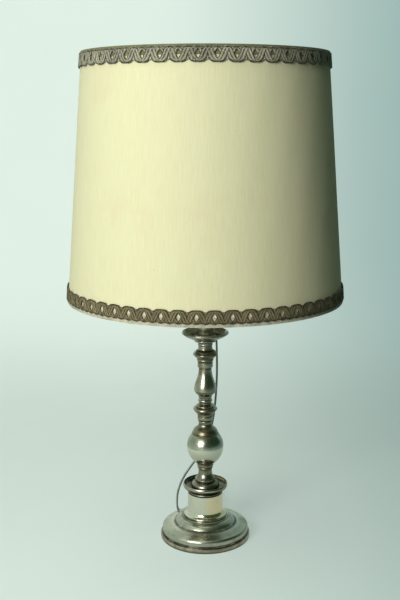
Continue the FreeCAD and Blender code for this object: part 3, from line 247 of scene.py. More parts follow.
# --- materials
class Finish:
    """A material whose nodes are added one by one, each from the ones before."""

    def __init__(self, name):
        self.material = bpy.data.materials.new(name)
        self.material.use_nodes = True
        self.tree = self.material.node_tree
        self.shader = next(n for n in self.tree.nodes if n.type == "BSDF_PRINCIPLED")

    def node(self, kind, inputs=(), **attributes):
        made = self.tree.nodes.new(kind)
        for key, value in attributes.items():
            setattr(made, key, value)
        for key, value in dict(inputs).items():
            self.feed(made.inputs[key], value)
        return made

    def feed(self, socket, value):
        if isinstance(value, bpy.types.NodeSocket):
            self.tree.links.new(value, socket)
        elif isinstance(value, (tuple, list)) or hasattr(value, "__len__"):
            socket.default_value = (*value, 1.0)[: len(socket.default_value)]
        else:
            socket.default_value = value

    def put(self, **inputs):
        """Sets the shader's own sockets, named in lower case with underscores."""
        for key, value in inputs.items():
            self.feed(self.shader.inputs[key.replace("_", " ").title().replace("Ior", "IOR")], value)
        return self.material

    def coordinates(self, kind="Object", scale=(1, 1, 1), turn=(0, 0, 0)):
        """Object coordinates, or the piece's own UV, stretched by a Mapping node."""
        if kind == "UV":
            source = self.node("ShaderNodeUVMap", uv_map="surface").outputs["UV"]
        else:
            source = self.node("ShaderNodeTexCoord").outputs["Object"]
        inputs = {"Vector": source, "Scale": scale, "Rotation": turn}
        return self.node("ShaderNodeMapping", inputs).outputs["Vector"]

    def noise(self, vector, scale, detail=4.0, roughness=0.5):
        inputs = {"Vector": vector, "Scale": scale, "Detail": detail, "Roughness": roughness}
        return self.node("ShaderNodeTexNoise", inputs).outputs["Fac"]

    def between(self, value, low, high, to_low=0.0, to_high=1.0):
        """A value's stretch from low to high, spread smoothly over another."""
        inputs = {"Value": value, "From Min": low, "From Max": high, "To Min": to_low, "To Max": to_high}
        return self.node("ShaderNodeMapRange", inputs, interpolation_type="SMOOTHSTEP").outputs["Result"]

    def mix(self, share, a, b, blend="MIX"):
        made = self.node("ShaderNodeMix", data_type="RGBA", blend_type=blend)
        self.feed(made.inputs["Factor"], share)
        self.feed(made.inputs[6], a)
        self.feed(made.inputs[7], b)
        return made.outputs[2]

    def maths(self, operation, a, b=0.0):
        made = self.node("ShaderNodeMath", operation=operation)
        self.feed(made.inputs[0], a)
        self.feed(made.inputs[1], b)
        return made.outputs[0]

    def bump(self, height, strength, distance, after=None):
        inputs = {"Height": height, "Strength": strength, "Distance": distance}
        if after is not None:
            inputs["Normal"] = after
        return self.node("ShaderNodeBump", inputs).outputs["Normal"]


def silver_plate(name, warmth, tarnish=0.5, rough=0.26, rubbed=0.0, bands=(), tarnish_and_shade_depth=1.0, sides=0.0):
    """Worn plate: warm tarnish in soft clouds, near black in the grooves, copper where it is rubbed.

    bands are heights above the table, from and to, with the share and the tint that the plate takes
    between them. depth is what the whole tint is multiplied by, partly the piece's tarnish and partly
    painted shade. sides is how far the plate to the lamp's right is painted beige, a painted reflection.
    Undersides are darker, partly tarnish and partly painted shade, and fine level wipe marks run round
    every piece.
    """
    own = settings().silver
    finish = Finish(name)
    place_ = finish.coordinates()
    axes = finish.node("ShaderNodeSeparateXYZ", {"Vector": place_}).outputs
    height = axes["Z"]
    facing = finish.node("ShaderNodeNewGeometry").outputs["Normal"]
    upward = finish.node("ShaderNodeSeparateXYZ", {"Vector": facing}).outputs["Z"]
    clouds = finish.noise(place_, 30.0, 6.0, 0.62)
    patches = finish.noise(place_, 75.0, 5.0, 0.62)
    spots = finish.noise(place_, 420.0, 4.0, 0.7)
    wipes = finish.noise(finish.coordinates(scale=(18, 18, 1300)), 1.0, 4.0, 0.6)
    occlusion = finish.node("ShaderNodeAmbientOcclusion", {"Distance": 0.0075}, samples=6)
    groove = finish.between(occlusion.outputs["AO"], 0.30, 0.97, 1.0, 0.0)
    # The whole plate darkened by depth: partly the piece's tarnish, partly painted shade.
    plate, patina = [c * tarnish_and_shade_depth for c in own.plate], [c * tarnish_and_shade_depth for c in own.patina]
    # Painted shade on downward faces, partly tarnish: the patina darkened further.
    underside_tarnish_and_shade = [c * 0.45 for c in patina]
    tint = finish.mix(finish.between(clouds, 0.66 - warmth, 1.0 - warmth), plate, patina)
    # Painted reflection: the plate to the lamp's right is mixed toward warm beige.
    tint = finish.mix(finish.between(axes["X"], -0.001, 0.004, 0.0, sides), tint, own.painted_warm_reflection)
    # Undersides painted darker: partly tarnish, partly painted shade.
    tint = finish.mix(finish.between(upward, 0.05, -0.45, 0.0, 0.8 * tarnish), tint, underside_tarnish_and_shade)
    tint = finish.mix(finish.between(wipes, 0.45, 0.75, 0.0, 0.35 * tarnish), tint, patina)
    tint = finish.mix(finish.between(spots, 0.58, 0.70, 0.0, 0.5 * tarnish), tint, own.groove)
    worn = finish.between(patches, 0.70 - rubbed, 0.80 - rubbed, 0.0, min(1.0, rubbed * 3))
    tint = finish.mix(worn, tint, own.copper)
    edge = 0.0006
    for low, high, share, colour_ in bands:
        inside = finish.maths(
            "MULTIPLY", finish.between(height, low - edge, low + edge, 0.0, share),
            finish.between(height, high - edge, high + edge, 1.0, 0.0),
        )
        mottled = finish.maths("MULTIPLY", inside, finish.between(patches, 0.30, 0.60, 0.45, 1.0))
        tint = finish.mix(mottled, tint, colour_)
    tint = finish.mix(finish.maths("MULTIPLY", groove, tarnish), tint, own.groove)
    dull = finish.between(clouds, 0.3, 0.8, rough * 0.8, rough * 1.5)
    dull = finish.maths("ADD", dull, finish.maths("MULTIPLY", groove, 0.30 * tarnish))
    marks = finish.bump(wipes, 0.05, 0.0004)
    dents = finish.bump(finish.noise(place_, 22.0, 2.0), 0.06, 0.002, marks)
    return finish.put(base_color=tint, metallic=1.0, roughness=dull, normal=dents)


def brass(name="Lacquered brass"):
    """Drawn brass under a thin lacquer, with fine turning marks."""
    finish = Finish(name)
    place_ = finish.coordinates()
    tint = finish.mix(
        finish.between(finish.noise(place_, 60.0, 5.0), 0.35, 0.75), (0.78, 0.60, 0.28), (0.52, 0.36, 0.14)
    )
    turning = finish.noise(finish.coordinates(scale=(20, 20, 1400)), 1.0, 3.0)
    rough = finish.between(turning, 0.3, 0.7, 0.22, 0.36)
    normal = finish.bump(turning, 0.08, 0.0003)
    return finish.put(base_color=tint, metallic=1.0, roughness=rough, normal=normal)


def steel(name, light, dark, rough):
    """Zinc or brassed steel with a dull bloom."""
    finish = Finish(name)
    bloom = finish.noise(finish.coordinates(), 90.0, 6.0, 0.6)
    tint = finish.mix(finish.between(bloom, 0.35, 0.7), light, dark)
    level = finish.between(bloom, 0.3, 0.8, rough, rough + 0.18)
    return finish.put(base_color=tint, metallic=1.0, roughness=level, normal=finish.bump(bloom, 0.12, 0.0003))


def moulded(name, tint, rough, grain=700.0):
    """Moulded plastic, rubber or glaze with a faint mottle and a fine skin."""
    finish = Finish(name)
    place_ = finish.coordinates()
    mottle = finish.noise(place_, 45.0, 4.0)
    shade = finish.mix(finish.between(mottle, 0.3, 0.8, 0.0, 0.35), tint, [c * 0.6 for c in tint])
    skin = finish.noise(place_, grain, 2.0)
    level = finish.between(mottle, 0.3, 0.8, rough, rough + 0.1)
    return finish.put(base_color=shade, roughness=level, normal=finish.bump(skin, 0.12, 0.0002))


def casting(name="Grey casting"):
    """Rough grey casting."""
    finish = Finish(name)
    place_ = finish.coordinates()
    grit = finish.noise(place_, 380.0, 6.0, 0.7)
    tint = finish.mix(finish.between(grit, 0.35, 0.7), (0.055, 0.055, 0.052), (0.16, 0.15, 0.13))
    return finish.put(base_color=tint, metallic=0.6, roughness=0.62, normal=finish.bump(grit, 0.6, 0.0006))


def felt(name="Green felt"):
    """Pressed wool felt."""
    finish = Finish(name)
    place_ = finish.coordinates()
    hairs = finish.noise(place_, 900.0, 6.0, 0.75)
    tint = finish.mix(finish.between(hairs, 0.3, 0.7), (0.018, 0.055, 0.030), (0.040, 0.110, 0.060))
    normal = finish.bump(hairs, 0.5, 0.0005)
    return finish.put(base_color=tint, roughness=0.95, sheen_weight=0.5, normal=normal)


def glass(name, tint, rough, through):
    """Blown glass with a faint unevenness in its thickness."""
    finish = Finish(name)
    wave = finish.noise(finish.coordinates(), 30.0, 2.0)
    level = finish.between(wave, 0.3, 0.8, rough, rough + 0.04)
    finish.put(base_color=tint, roughness=level, normal=finish.bump(wave, 0.03, 0.001))
    return finish.put(transmission_weight=through, ior=1.48)


def shade_cloth(name, tint, aged):
    """Plain woven cloth on card: upright slubs, a fine weave and a few faint stains."""
    finish = Finish(name)
    along = finish.coordinates("UV", (1, 1, 1))
    slubs = finish.noise(finish.coordinates("UV", (900, 34, 1)), 1.0, 4.0, 0.6)
    streaks = finish.noise(finish.coordinates("UV", (120, 5, 1)), 1.0, 3.0, 0.55)
    stains = finish.noise(along, 11.0, 5.0, 0.55)
    flecks = finish.noise(finish.coordinates("UV", (260, 90, 1)), 1.0, 2.0)
    dark = [c * k for c, k in zip(tint, (0.80, 0.76, 0.66))]
    pale = [min(1.0, c * k) for c, k in zip(tint, (1.05, 1.06, 1.10))]
    cloth = finish.mix(finish.between(slubs, 0.30, 0.72, 0.0, 0.38), tint, dark)
    cloth = finish.mix(finish.between(streaks, 0.50, 0.80, 0.0, 0.25), cloth, pale)
    cloth = finish.mix(finish.between(stains, 0.56, 0.72, 0.0, 0.22 * aged), cloth, (0.72, 0.56, 0.36))
    cloth = finish.mix(finish.between(flecks, 0.74, 0.80, 0.0, 0.5 * aged), cloth, (0.46, 0.40, 0.24))
    warp, weft = (
        finish.node(
            "ShaderNodeTexWave", {"Vector": along, "Scale": scale, "Distortion": 0.6}, bands_direction=way
        ).outputs["Fac"]
        for scale, way in ((560.0, "X"), (480.0, "Y"))
    )
    weave = finish.maths("MULTIPLY", warp, weft)
    normal = finish.bump(weave, 0.10, 0.0003)
    normal = finish.bump(slubs, 0.35, 0.0004, normal)
    return finish.put(base_color=cloth, roughness=0.86, sheen_weight=0.15, normal=normal)


def tape(name, tint):
    """Woven tape with cross ribs, on Object coordinates."""
    finish = Finish(name)
    place_ = finish.coordinates()
    worn = finish.noise(place_, 70.0, 5.0)
    ribs = finish.noise(finish.coordinates(scale=(700, 700, 60)), 1.0, 2.0)
    cloth = finish.mix(finish.between(worn, 0.35, 0.75), tint, [c * 0.6 for c in tint])
    cloth = finish.mix(finish.between(ribs, 0.45, 0.7, 0.0, 0.5), cloth, [c * 0.45 for c in tint])
    normal = finish.bump(ribs, 0.5, 0.0004)
    return finish.put(base_color=cloth, roughness=0.85, sheen_weight=0.2, normal=normal)


def metal_thread(name, dark, bright):
    """Thread wrapped in flat metal wire: slanting wraps with broken glints, on the thread's own UV.

    The UV's second number holds the thread's brightness: outline threads are dark and the rest pale.
    """
    finish = Finish(name)
    own_uv = finish.coordinates("UV")
    tone = finish.node("ShaderNodeSeparateXYZ", {"Vector": own_uv}).outputs["Y"]
    slanting = finish.coordinates("UV", turn=(0, 0, 0.6))
    wraps = finish.node("ShaderNodeTexWave", {"Vector": slanting, "Scale": 300.0, "Distortion": 1.2})
    place_ = finish.coordinates()
    broken = finish.noise(place_, 480.0, 4.0, 0.65)
    age = finish.noise(place_, 38.0, 4.0)
    body = finish.mix(tone, dark, bright)
    tint = finish.mix(finish.between(age, 0.3, 0.75, 0.0, 0.5), body, [c * 0.7 for c in dark])
    glint = finish.maths("MULTIPLY", wraps.outputs["Fac"], finish.between(broken, 0.46, 0.66))
    tint = finish.mix(finish.maths("MULTIPLY", glint, 0.55), tint, [min(1.0, c * 1.5) for c in bright])
    level = finish.between(glint, 0.0, 1.0, 0.62, 0.36)
    metal = finish.between(glint, 0.0, 1.0, 0.05, 0.55)
    normal = finish.bump(wraps.outputs["Fac"], 0.6, 0.0003)
    return finish.put(base_color=tint, metallic=metal, roughness=level, normal=normal)


def flex_plastic(name, tint):
    """Satin flexible plastic with a dusty, slightly lighter crown."""
    finish = Finish(name)
    place_ = finish.coordinates()
    dust = finish.noise(place_, 120.0, 4.0, 0.6)
    shade = finish.mix(finish.between(dust, 0.4, 0.75, 0.0, 0.5), tint, [min(1.0, c * 1.9) for c in tint])
    level = finish.between(dust, 0.3, 0.7, 0.30, 0.48)
    return finish.put(base_color=shade, roughness=level, normal=finish.bump(dust, 0.10, 0.0003))


# --- the flex's route
def hank_points(own):
    """Control points of the tied hank, 16 to a turn.

    A turn is a long loop drawn in at its waist. Half of it is eight points: four up one side, whose distance
    from the middle line goes from the end's radius to the waist and out again, and four round the end, at
    the corners of half an octagon. The radius and the waist shrink by their pitch each turn on the way in,
    and grow again on the way out, one layer higher.
    """
    corner = math.tan(math.pi / 8)
    half = np.array([
        # share of the end radius and of the waist across; share of the half run and end radius along; turn
        (-1.00, 0.0, -0.62, 0.0, 0.0475),
        (0.0, -1.00, -0.25, 0.0, 0.094),
        (0.0, -1.00, 0.25, 0.0, 0.156),
        (-1.00, 0.0, 0.62, 0.0, 0.2025),
        (-1.00, 0.0, 1.00, corner, 0.290),
        (-corner, 0.0, 1.00, 1.0, 0.345),
        (corner, 0.0, 1.00, 1.0, 0.405),
        (1.00, 0.0, 1.00, corner, 0.460),
    ])
    turn = np.concatenate([half, half * (-1, -1, -1, -1, 1) + (0, 0, 0, 0, 0.5)])
    total = own.turns_in + own.turns_out
    wound = np.concatenate([turn + (0, 0, 0, 0, k) for k in range(math.ceil(total) + 1)])
    wound = wound[wound[:, 4] < total]
    inward = own.turns_in - np.abs(wound[:, 4] - own.turns_in)
    r = own.end_radius - own.pitch * inward
    waist = own.waist_half - own.waist_pitch * inward
    x = wound[:, 0] * r + wound[:, 1] * waist
    y = own.hank_start + own.half_run * (1 + wound[:, 2]) + wound[:, 3] * r
    z = own.lift + own.rise * np.clip((wound[:, 4] - own.turns_in) / 0.125, 0, 1)
    return np.stack([x, y, z], axis=1)


def flex_route(own):
    """Control points from the bush, down behind the stem, round the hank and back to the plug."""
    hank = hank_points(own)
    free = np.array([
        (7.346, 17.305, 356.275), (12.425, 29.272, 356.275), (15.2, 41.5, 346.5), (16.2, 45.0, 322.0),
        (17.5, 43.2, 288.0), (18.2, 42.0, 252.0), (17.0, 41.5, 216.0), (13.6, 41.0, 181.0),
        (7.2, 40.6, 149.0), (-4.5, 41.0, 121.0), (-20.0, 42.6, 97.5), (-34.0, 47.5, 75.0),
        (-42.8, 54.5, 51.0), (-45.4, 60.8, 31.5), (-45.0, 66.0, 12.5), (-41.0, 74.5, 3.8),
        (-29.5, 86.0, 3.8), (-23.6, 94.0, 3.9), (-23.6, 104.0, 3.9),
    ]) / 1000
    tail = np.array([
        (26.075, 104.0, 9.4), (26.075, 89.03, 9.4), (15.66, 78.61, 13.4),
        (0.92, 78.61, 17.0), (-9.5, 89.03, 20.25), (-9.5, 104.0, 20.25),
    ]) / 1000
    return np.concatenate([free, hank, tail])


def smooth_line(points):
    """The line of one quadratic spline over control points, as Blender evaluates it."""
    curve = bpy.data.curves.new("flex line", "CURVE")
    curve.dimensions = "3D"
    spline = curve.splines.new("NURBS")
    spline.points.add(len(points) - 1)
    weighted = np.column_stack([points, np.ones(len(points))]).astype(np.float32)
    spline.points.foreach_set("co", weighted.ravel())
    spline.order_u = 3
    spline.use_endpoint_u = True
    spline.resolution_u = 8
    holder = bpy.data.objects.new("flex line", curve)
    bpy.context.scene.collection.objects.link(holder)
    bpy.context.view_layer.update()
    mesh = bpy.data.meshes.new_from_object(holder.evaluated_get(bpy.context.evaluated_depsgraph_get()))
    line = np.zeros(len(mesh.vertices) * 3)
    mesh.vertices.foreach_get("co", line)
    bpy.data.objects.remove(holder)
    bpy.data.curves.remove(curve)
    bpy.data.meshes.remove(mesh)
    return line.reshape(-1, 3)


def twin_section(own, count=20):
    """Outline of the twin section: half thickness follows a circle over each core and dips at the web.

    The width is the cosine of the angle, and the thickness its sine, drawn in by the cube of how near the
    point is to the middle.
    """
    angle = np.arange(count) * TAU / count
    across = np.cos(angle) * own.width / 2
    share = 1 - (1 - own.waist / own.thickness) * (1 - np.abs(np.cos(angle))) ** 3
    through = np.sign(np.sin(angle)) * np.abs(np.sin(angle)) ** 0.7 * own.thickness / 2 * share
    return across, through


class LAMP_OT_camera(bpy.types.Operator):
    """Stand the camera where the lamp is seen from"""

    bl_idname = "lamp.camera"
    bl_label = "Camera"

    def execute(self, context):
        own = settings().view
        data = bpy.data.cameras.new("View")
        data.sensor_fit = "VERTICAL"
        data.sensor_height = 36.0
        data.lens = own.focal
        data.shift_x = own.shift
        data.clip_end = 50.0
        camera = bpy.data.objects.new("View", data)
        camera.location = (0, -own.distance, own.height)
        camera.rotation_euler = (math.pi / 2 - own.tilt, 0, 0)
        context.scene.collection.objects.link(camera)
        context.scene.camera = camera
        return {"FINISHED"}


class LAMP_OT_flex(bpy.types.Operator):
    """Lay the flat flex along its route and tie its spare length"""

    bl_idname = "lamp.flex"
    bl_label = "Flex"

    def execute(self, context):
        own = settings().flex
        route = flex_route(own)
        line = smooth_line(route)
        ahead = unit(np.gradient(line, axis=0))
        run = np.concatenate([[0], np.cumsum(np.linalg.norm(np.diff(line, axis=0), axis=1))])
        twist_at, twist = (0, 0.04, 0.16, 0.24, 0.31, 0.37, 0.43), (0, 0.35, 0.45, 1.0, 1.05, 0.3, 0)
        turned = np.interp(run, twist_at, twist)
        drop = np.clip(-ahead[:, 2:3], 0, None)
        lean = np.stack([np.sin(turned), np.cos(turned), np.zeros_like(turned)], axis=1)
        hold = 3.0
        guide = np.array([0, 0, 1.0]) + hold * drop * lean
        wide = unit(guide - (guide * ahead).sum(1, keepdims=True) * ahead)
        thin = np.cross(ahead, wide)
        across, through = twin_section(own)
        rings = line[:, None] + wide[:, None] * across[None, :, None] + thin[:, None] * through[None, :, None]
        girth = 2.4 * own.width
        around = np.linspace(0, girth, len(across) + 1)
        uv = np.stack(np.broadcast_arrays(run[:, None], around), axis=-1)
        mesh = weave_mesh("flex", rings, close_columns=True, uv=uv)
        material = flex_plastic("Flex plastic", own.tint)
        flex = place(mesh, "lamp", material, "flex_pvc", "cord_drop", "cord_hank", "cord_tail")
        return {"FINISHED"}


def shaded(node, material):
    """Gives a CAD node its material."""
    for slot in NODES[node].material_slots:
        slot.material = material


class LAMP_OT_candlestick(bpy.types.Operator):
    """Plate the candlestick's turned and spun pieces"""

    bl_idname = "lamp.candlestick"
    bl_label = "Candlestick"

    def execute(self, context):
        own = settings().silver
        drum_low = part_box("drum")[0].z
        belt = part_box("ball_lower_half")[1].z
        half_line = 0.0007
        joints = [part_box(node)[0].z for node in SILVER_PIECES[2:]]
        lines = [(z - half_line, z + half_line, 0.9, own.groove) for z in joints]
        # The drum's plate, painted beige to the lamp's right as a painted reflection.
        clean = silver_plate(
            "Silver, clean", warmth=0.12, tarnish=0.55, rough=0.20, sides=0.75,
            bands=[(drum_low, drum_low + 0.0030, 0.8, own.groove)],
        )
        ball = silver_plate("Silver, ball", warmth=0.06, tarnish=0.35, rough=0.20, tarnish_and_shade_depth=0.95)
        # Ball and crown are one plate; the crown is painted darker and green as a painted reflection.
        crown = silver_plate(
            "Silver, crown", warmth=0.20, tarnish=0.6, rough=0.24,
            bands=[(belt - 0.002, 1.0, 0.60, own.painted_green_reflection)],
        )
        # Depth below 1 darkens these plates: partly tarnish, partly painted shade.
        stem = silver_plate(
            "Silver, stem", warmth=0.30, tarnish=0.95, rough=0.27, rubbed=0.05, bands=lines, tarnish_and_shade_depth=0.60
        )
        olive = silver_plate(
            "Silver, olive", warmth=0.34, tarnish=1.0, rough=0.30, rubbed=0.08, bands=lines, tarnish_and_shade_depth=0.50
        )
        dish = silver_plate(
            "Silver, dish", warmth=0.30, tarnish=0.50, rough=0.24, rubbed=0.06, bands=lines, tarnish_and_shade_depth=0.66
        )
        step, ovolo, ring = drum_low - 0.0108, drum_low - 0.0086, drum_low - 0.0020
        # The foot's green bands are painted reflection; its brown rim and dark groove lines are its own
        # colour.
        foot = silver_plate(
            "Silver, foot", warmth=0.16, tarnish=0.9, rough=0.27, rubbed=0.10, tarnish_and_shade_depth=0.86,
            bands=[
                (0.0, 0.0076, 0.80, own.brown), (0.0076, 0.0104, 0.95, own.groove),
                (0.0120, drum_low - 0.0125, 0.38, own.painted_green_reflection), (step, ovolo, 0.90, own.groove),
                (ovolo, ring, 0.45, own.painted_green_reflection), (ring, drum_low - 0.0012, 0.90, own.groove),
            ],
        )
        looks = {
            "drum": clean, "ball_lower_half": ball, "ball_upper_half": crown, "foot_shell": foot,
            "stem_spool": olive, "drum_moulding": olive, "bell_cap": olive,
            "drip_dish": dish, "drip_pan": dish,
        }
        for node in SILVER_PIECES:
            shaded(node, looks.get(node, stem))
        return {"FINISHED"}


class LAMP_OT_inside(bpy.types.Operator):
    """Finish the loading, felt, rod, adapter and lampholder"""

    bl_idname = "lamp.inside"
    bl_label = "Inside and holder"

    def execute(self, context):
        shaded("felt_pad", felt())
        shaded("foot_weight", casting())
        zinc = steel("Zinc-plated steel", (0.62, 0.62, 0.60), (0.40, 0.40, 0.38), 0.30)
        wire = steel("Brassed wire", (0.66, 0.58, 0.38), (0.42, 0.34, 0.20), 0.34)
        metal = brass()
        for node in STEEL_PIECES:
            shaded(node, zinc)
        for node in WIRE_PIECES:
            shaded(node, wire)
        for node in BRASS_PIECES:
            shaded(node, metal)
        shaded("adapter_sleeve", moulded("Black rubber", (0.030, 0.030, 0.030), 0.60))
        shaded("cord_bush", moulded("Bush plastic", (0.20, 0.23, 0.18), 0.42))
        shaded("holder_insert", moulded("Porcelain glaze", (0.82, 0.80, 0.74), 0.14, 200.0))
        return {"FINISHED"}


class LAMP_OT_bulb(bpy.types.Operator):
    """Finish the bulb"""

    bl_idname = "lamp.bulb"
    bl_label = "Bulb"

    def execute(self, context):
        shaded("bulb_glass", glass("Frosted bulb glass", (0.95, 0.94, 0.90), 0.55, 0.85))
        shaded("bulb_stem", glass("Clear stem glass", (0.92, 0.96, 0.95), 0.04, 1.0))
        cap = steel("Bulb cap metal", (0.80, 0.80, 0.78), (0.62, 0.62, 0.60), 0.22)
        shaded("bulb_cap", cap)
        shaded("bulb_tip", cap)
        shaded("bulb_filament", steel("Filament wire", (0.50, 0.48, 0.46), (0.36, 0.35, 0.34), 0.4))
        return {"FINISHED"}


def cloth_radius(own, share):
    """Outside radius of the cloth at a share of its height."""
    return own.bottom_radius + (own.top_radius - own.bottom_radius) * share


class LAMP_OT_shade(bpy.types.Operator):
    """Cover the shade with cloth and finish the tapes over its edges"""

    bl_idname = "lamp.shade"
    bl_label = "Shade"

    def execute(self, context):
        own = settings().shade
        rows, columns = 96, 480
        share = np.linspace(0, 1, rows)[:, None]
        turn = np.linspace(0, TAU, columns, endpoint=False)[None, :]
        lap = np.clip(1 - np.abs(turn - np.pi / 2) * own.bottom_radius / (own.seam / 2), 0, 1)
        broad, fine, inset, lap_rise, lap_slope, card_share = 0.00010, 0.00006, 0.00016, 0.0005, 6, 0.8
        ripple = broad * np.sin(9 * turn + 5 * share) + fine * np.sin(23 * turn - 11 * share)
        radius = cloth_radius(own, share) - inset + ripple + lap_rise * np.minimum(1, lap_slope * lap)
        radius = np.concatenate([radius, radius[::-1] - own.wall * card_share])
        across = np.concatenate([share, share[::-1]]) * own.tall
        z = own.bottom + across + 0 * turn
        wall = np.stack([radius * np.cos(turn), radius * np.sin(turn), z], axis=-1)
        round_ = np.linspace(0, TAU, columns + 1) * own.bottom_radius
        around, up = np.broadcast_arrays(round_[None, :], np.append(across, 2 * own.tall)[:, None])
        mesh = weave_mesh("shade_cloth", wall, True, True, np.stack([around, up], axis=-1))
        cloth = shade_cloth("Cream slub cloth", own.cloth, 1.0)
        cover = place(mesh, "shade", cloth, "shade_cloth", "shade_cover")
        shaded("shade_lining", tape("Off-white lining", own.lining))
        shaded("top_binding", tape("Olive tape", own.tape))
        shaded("bottom_binding", tape("Cream hem tape", own.hem))
        return {"FINISHED"}


def braid_threads(own, lobes, width, edge, up, start, spread):
    """Centrelines of a lobed braid's threads round the shade, and each thread's brightness from 0 to 1.

    Across the braid, 0 is its straight edge and 1 its lobes' tips. One band of threads is a cosine wave
    with a crest to a lobe, whose phase is drawn out near the crest, and each thread of the band is the same
    wave a little further round, up to spread either way. A second band is the first turned over. They leave
    an opening in the middle of each lobe and hardly any between lobes, and the first lies over the second
    where they cross. Flat-topped arches outline each lobe, and a wavy edge band binds the feet. up is 1
    where the tips point up and -1 where they point down, and start is the share of a lobe that the first
    one is turned round.
    """
    steps, pinch = 18, 0.45
    turn = np.linspace(0, TAU, lobes * steps, endpoint=False)
    phase = lobes * turn + TAU * start - np.pi
    within = (phase / np.pi + 1) % 2 - 1
    shifts = np.linspace(-spread, spread, 8)
    tones = (0.0, 0.65, 1.0, 0.25, 0.1, 0.9, 0.6, 0.0)
    threads = []
    for shift, tone in zip(shifts, tones):
        here = phase + shift
        wave = np.cos(here - pinch * np.sin(here))
        threads.append((0.50 + 0.37 * wave, 0.7 + 0.3 * np.sin(here), tone))
        threads.append((0.47 - 0.36 * wave, -0.7 - 0.3 * np.sin(here), tone))
    for k, (arch_tone, foot_tone) in enumerate(((0.0, 0.3), (0.15, 0.0), (0.5, 0.1))):
        inner = 0.05 * k
        arch = np.sqrt(np.clip(1 - np.abs(within / (1 - inner)) ** 4, 0, 1))
        threads.append((0.40 + (0.555 - inner) * arch, 1.4 * arch - 0.6, arch_tone))
        threads.append((0.055 + inner - 0.03 * np.cos(2 * phase), 0.8 * np.cos(2 * phase), foot_tone))
    lines = []
    backing, step_out = 0.0012, 0.6
    for across, lift, tone in threads:
        z = edge + up * across * width
        cloth = cloth_radius(own, (z - own.bottom) / own.tall)
        radius = cloth + backing + own.thread_radius * (1 + step_out * lift)
        lines.append(np.stack([radius * np.cos(turn), radius * np.sin(turn), z], axis=-1))
    return np.array(lines), np.array([tone for *_, tone in threads])


def thread_tubes(lines, tones, radius, sides=4):
    """Closed tubes round closed lines: a ring of points in the plane of the outward normal and its cross.

    The UV's first number is the distance along a thread, and its second the distance round it in metres,
    with the thread's brightness added.
    """
    ahead = unit(np.roll(lines, -1, axis=1) - np.roll(lines, 1, axis=1))
    out = unit(lines * (1, 1, 0))
    out = unit(out - (out * ahead).sum(-1, keepdims=True) * ahead)
    side = np.cross(ahead, out)
    angle = np.arange(sides) * TAU / sides
    ring = np.cos(angle)[:, None] * out[:, :, None] + np.sin(angle)[:, None] * side[:, :, None]
    points = lines[:, :, None] + radius * ring
    step = np.linalg.norm(np.roll(lines, -1, axis=1) - lines, axis=-1)
    run = np.concatenate([0 * step[:, :1], np.cumsum(step, axis=1)], axis=1)
    around = np.linspace(0, TAU, sides + 1) * radius + tones[:, None, None]
    return points, np.stack(np.broadcast_arrays(run[:, :, None], around), axis=-1)


class LAMP_OT_braids(bpy.types.Operator):
    """Work the two lobed braids along the shade's edges"""

    bl_idname = "lamp.braids"
    bl_label = "Braids"

    def execute(self, context):
        own = settings().shade
        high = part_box("top_braid")[1].z
        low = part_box("bottom_braid")[0].z
        upper = braid_threads(own, own.top_lobes, own.top_width, high, -1, start=0.38, spread=1.08)
        lower = braid_threads(own, own.bottom_lobes, own.bottom_width, low, 1, start=0.75, spread=1.00)
        for name, node, (lines, tones), glint in (
            ("braid_upper", "top_braid", upper, own.glint),
            ("braid_lower", "bottom_braid", lower, own.bronze),
        ):
            points, uv = thread_tubes(lines, tones, own.thread_radius)
            mesh = weave_mesh(name, points, close_rows=True, close_columns=True, uv=uv)
            thread = metal_thread(f"Metal thread of {name}", own.thread, glint)
            place(mesh, "shade", thread, "braid_thread", node)
        return {"FINISHED"}


class LAMP_OT_plug(bpy.types.Operator):
    """Finish the plug, its sleeve and the hank's tie"""

    bl_idname = "lamp.plug"
    bl_label = "Plug and tie"

    def execute(self, context):
        body = moulded("Plug plastic", (0.15, 0.18, 0.15), 0.32)
        shaded("plug_body", body)
        shaded("plug_sleeve", body)
        shaded("plug_pins", steel("Plug pin metal", (0.80, 0.78, 0.72), (0.62, 0.60, 0.55), 0.2))
        shaded("hank_tie", moulded("Tie band", (0.020, 0.020, 0.020), 0.55))
        return {"FINISHED"}


def seen_directly(tree):
    """1 for rays from the camera, mirrors and glass, and 0 for rays that light matt surfaces."""
    path = tree.nodes.new("ShaderNodeLightPath")
    total = path.outputs["Is Camera Ray"]
    for name in ("Is Glossy Ray", "Is Transmission Ray"):
        add = tree.nodes.new("ShaderNodeMath")
        add.operation = "ADD"
        add.use_clamp = True
        tree.links.new(total, add.inputs[0])
        tree.links.new(path.outputs[name], add.inputs[1])
        total = add.outputs[0]
    return total


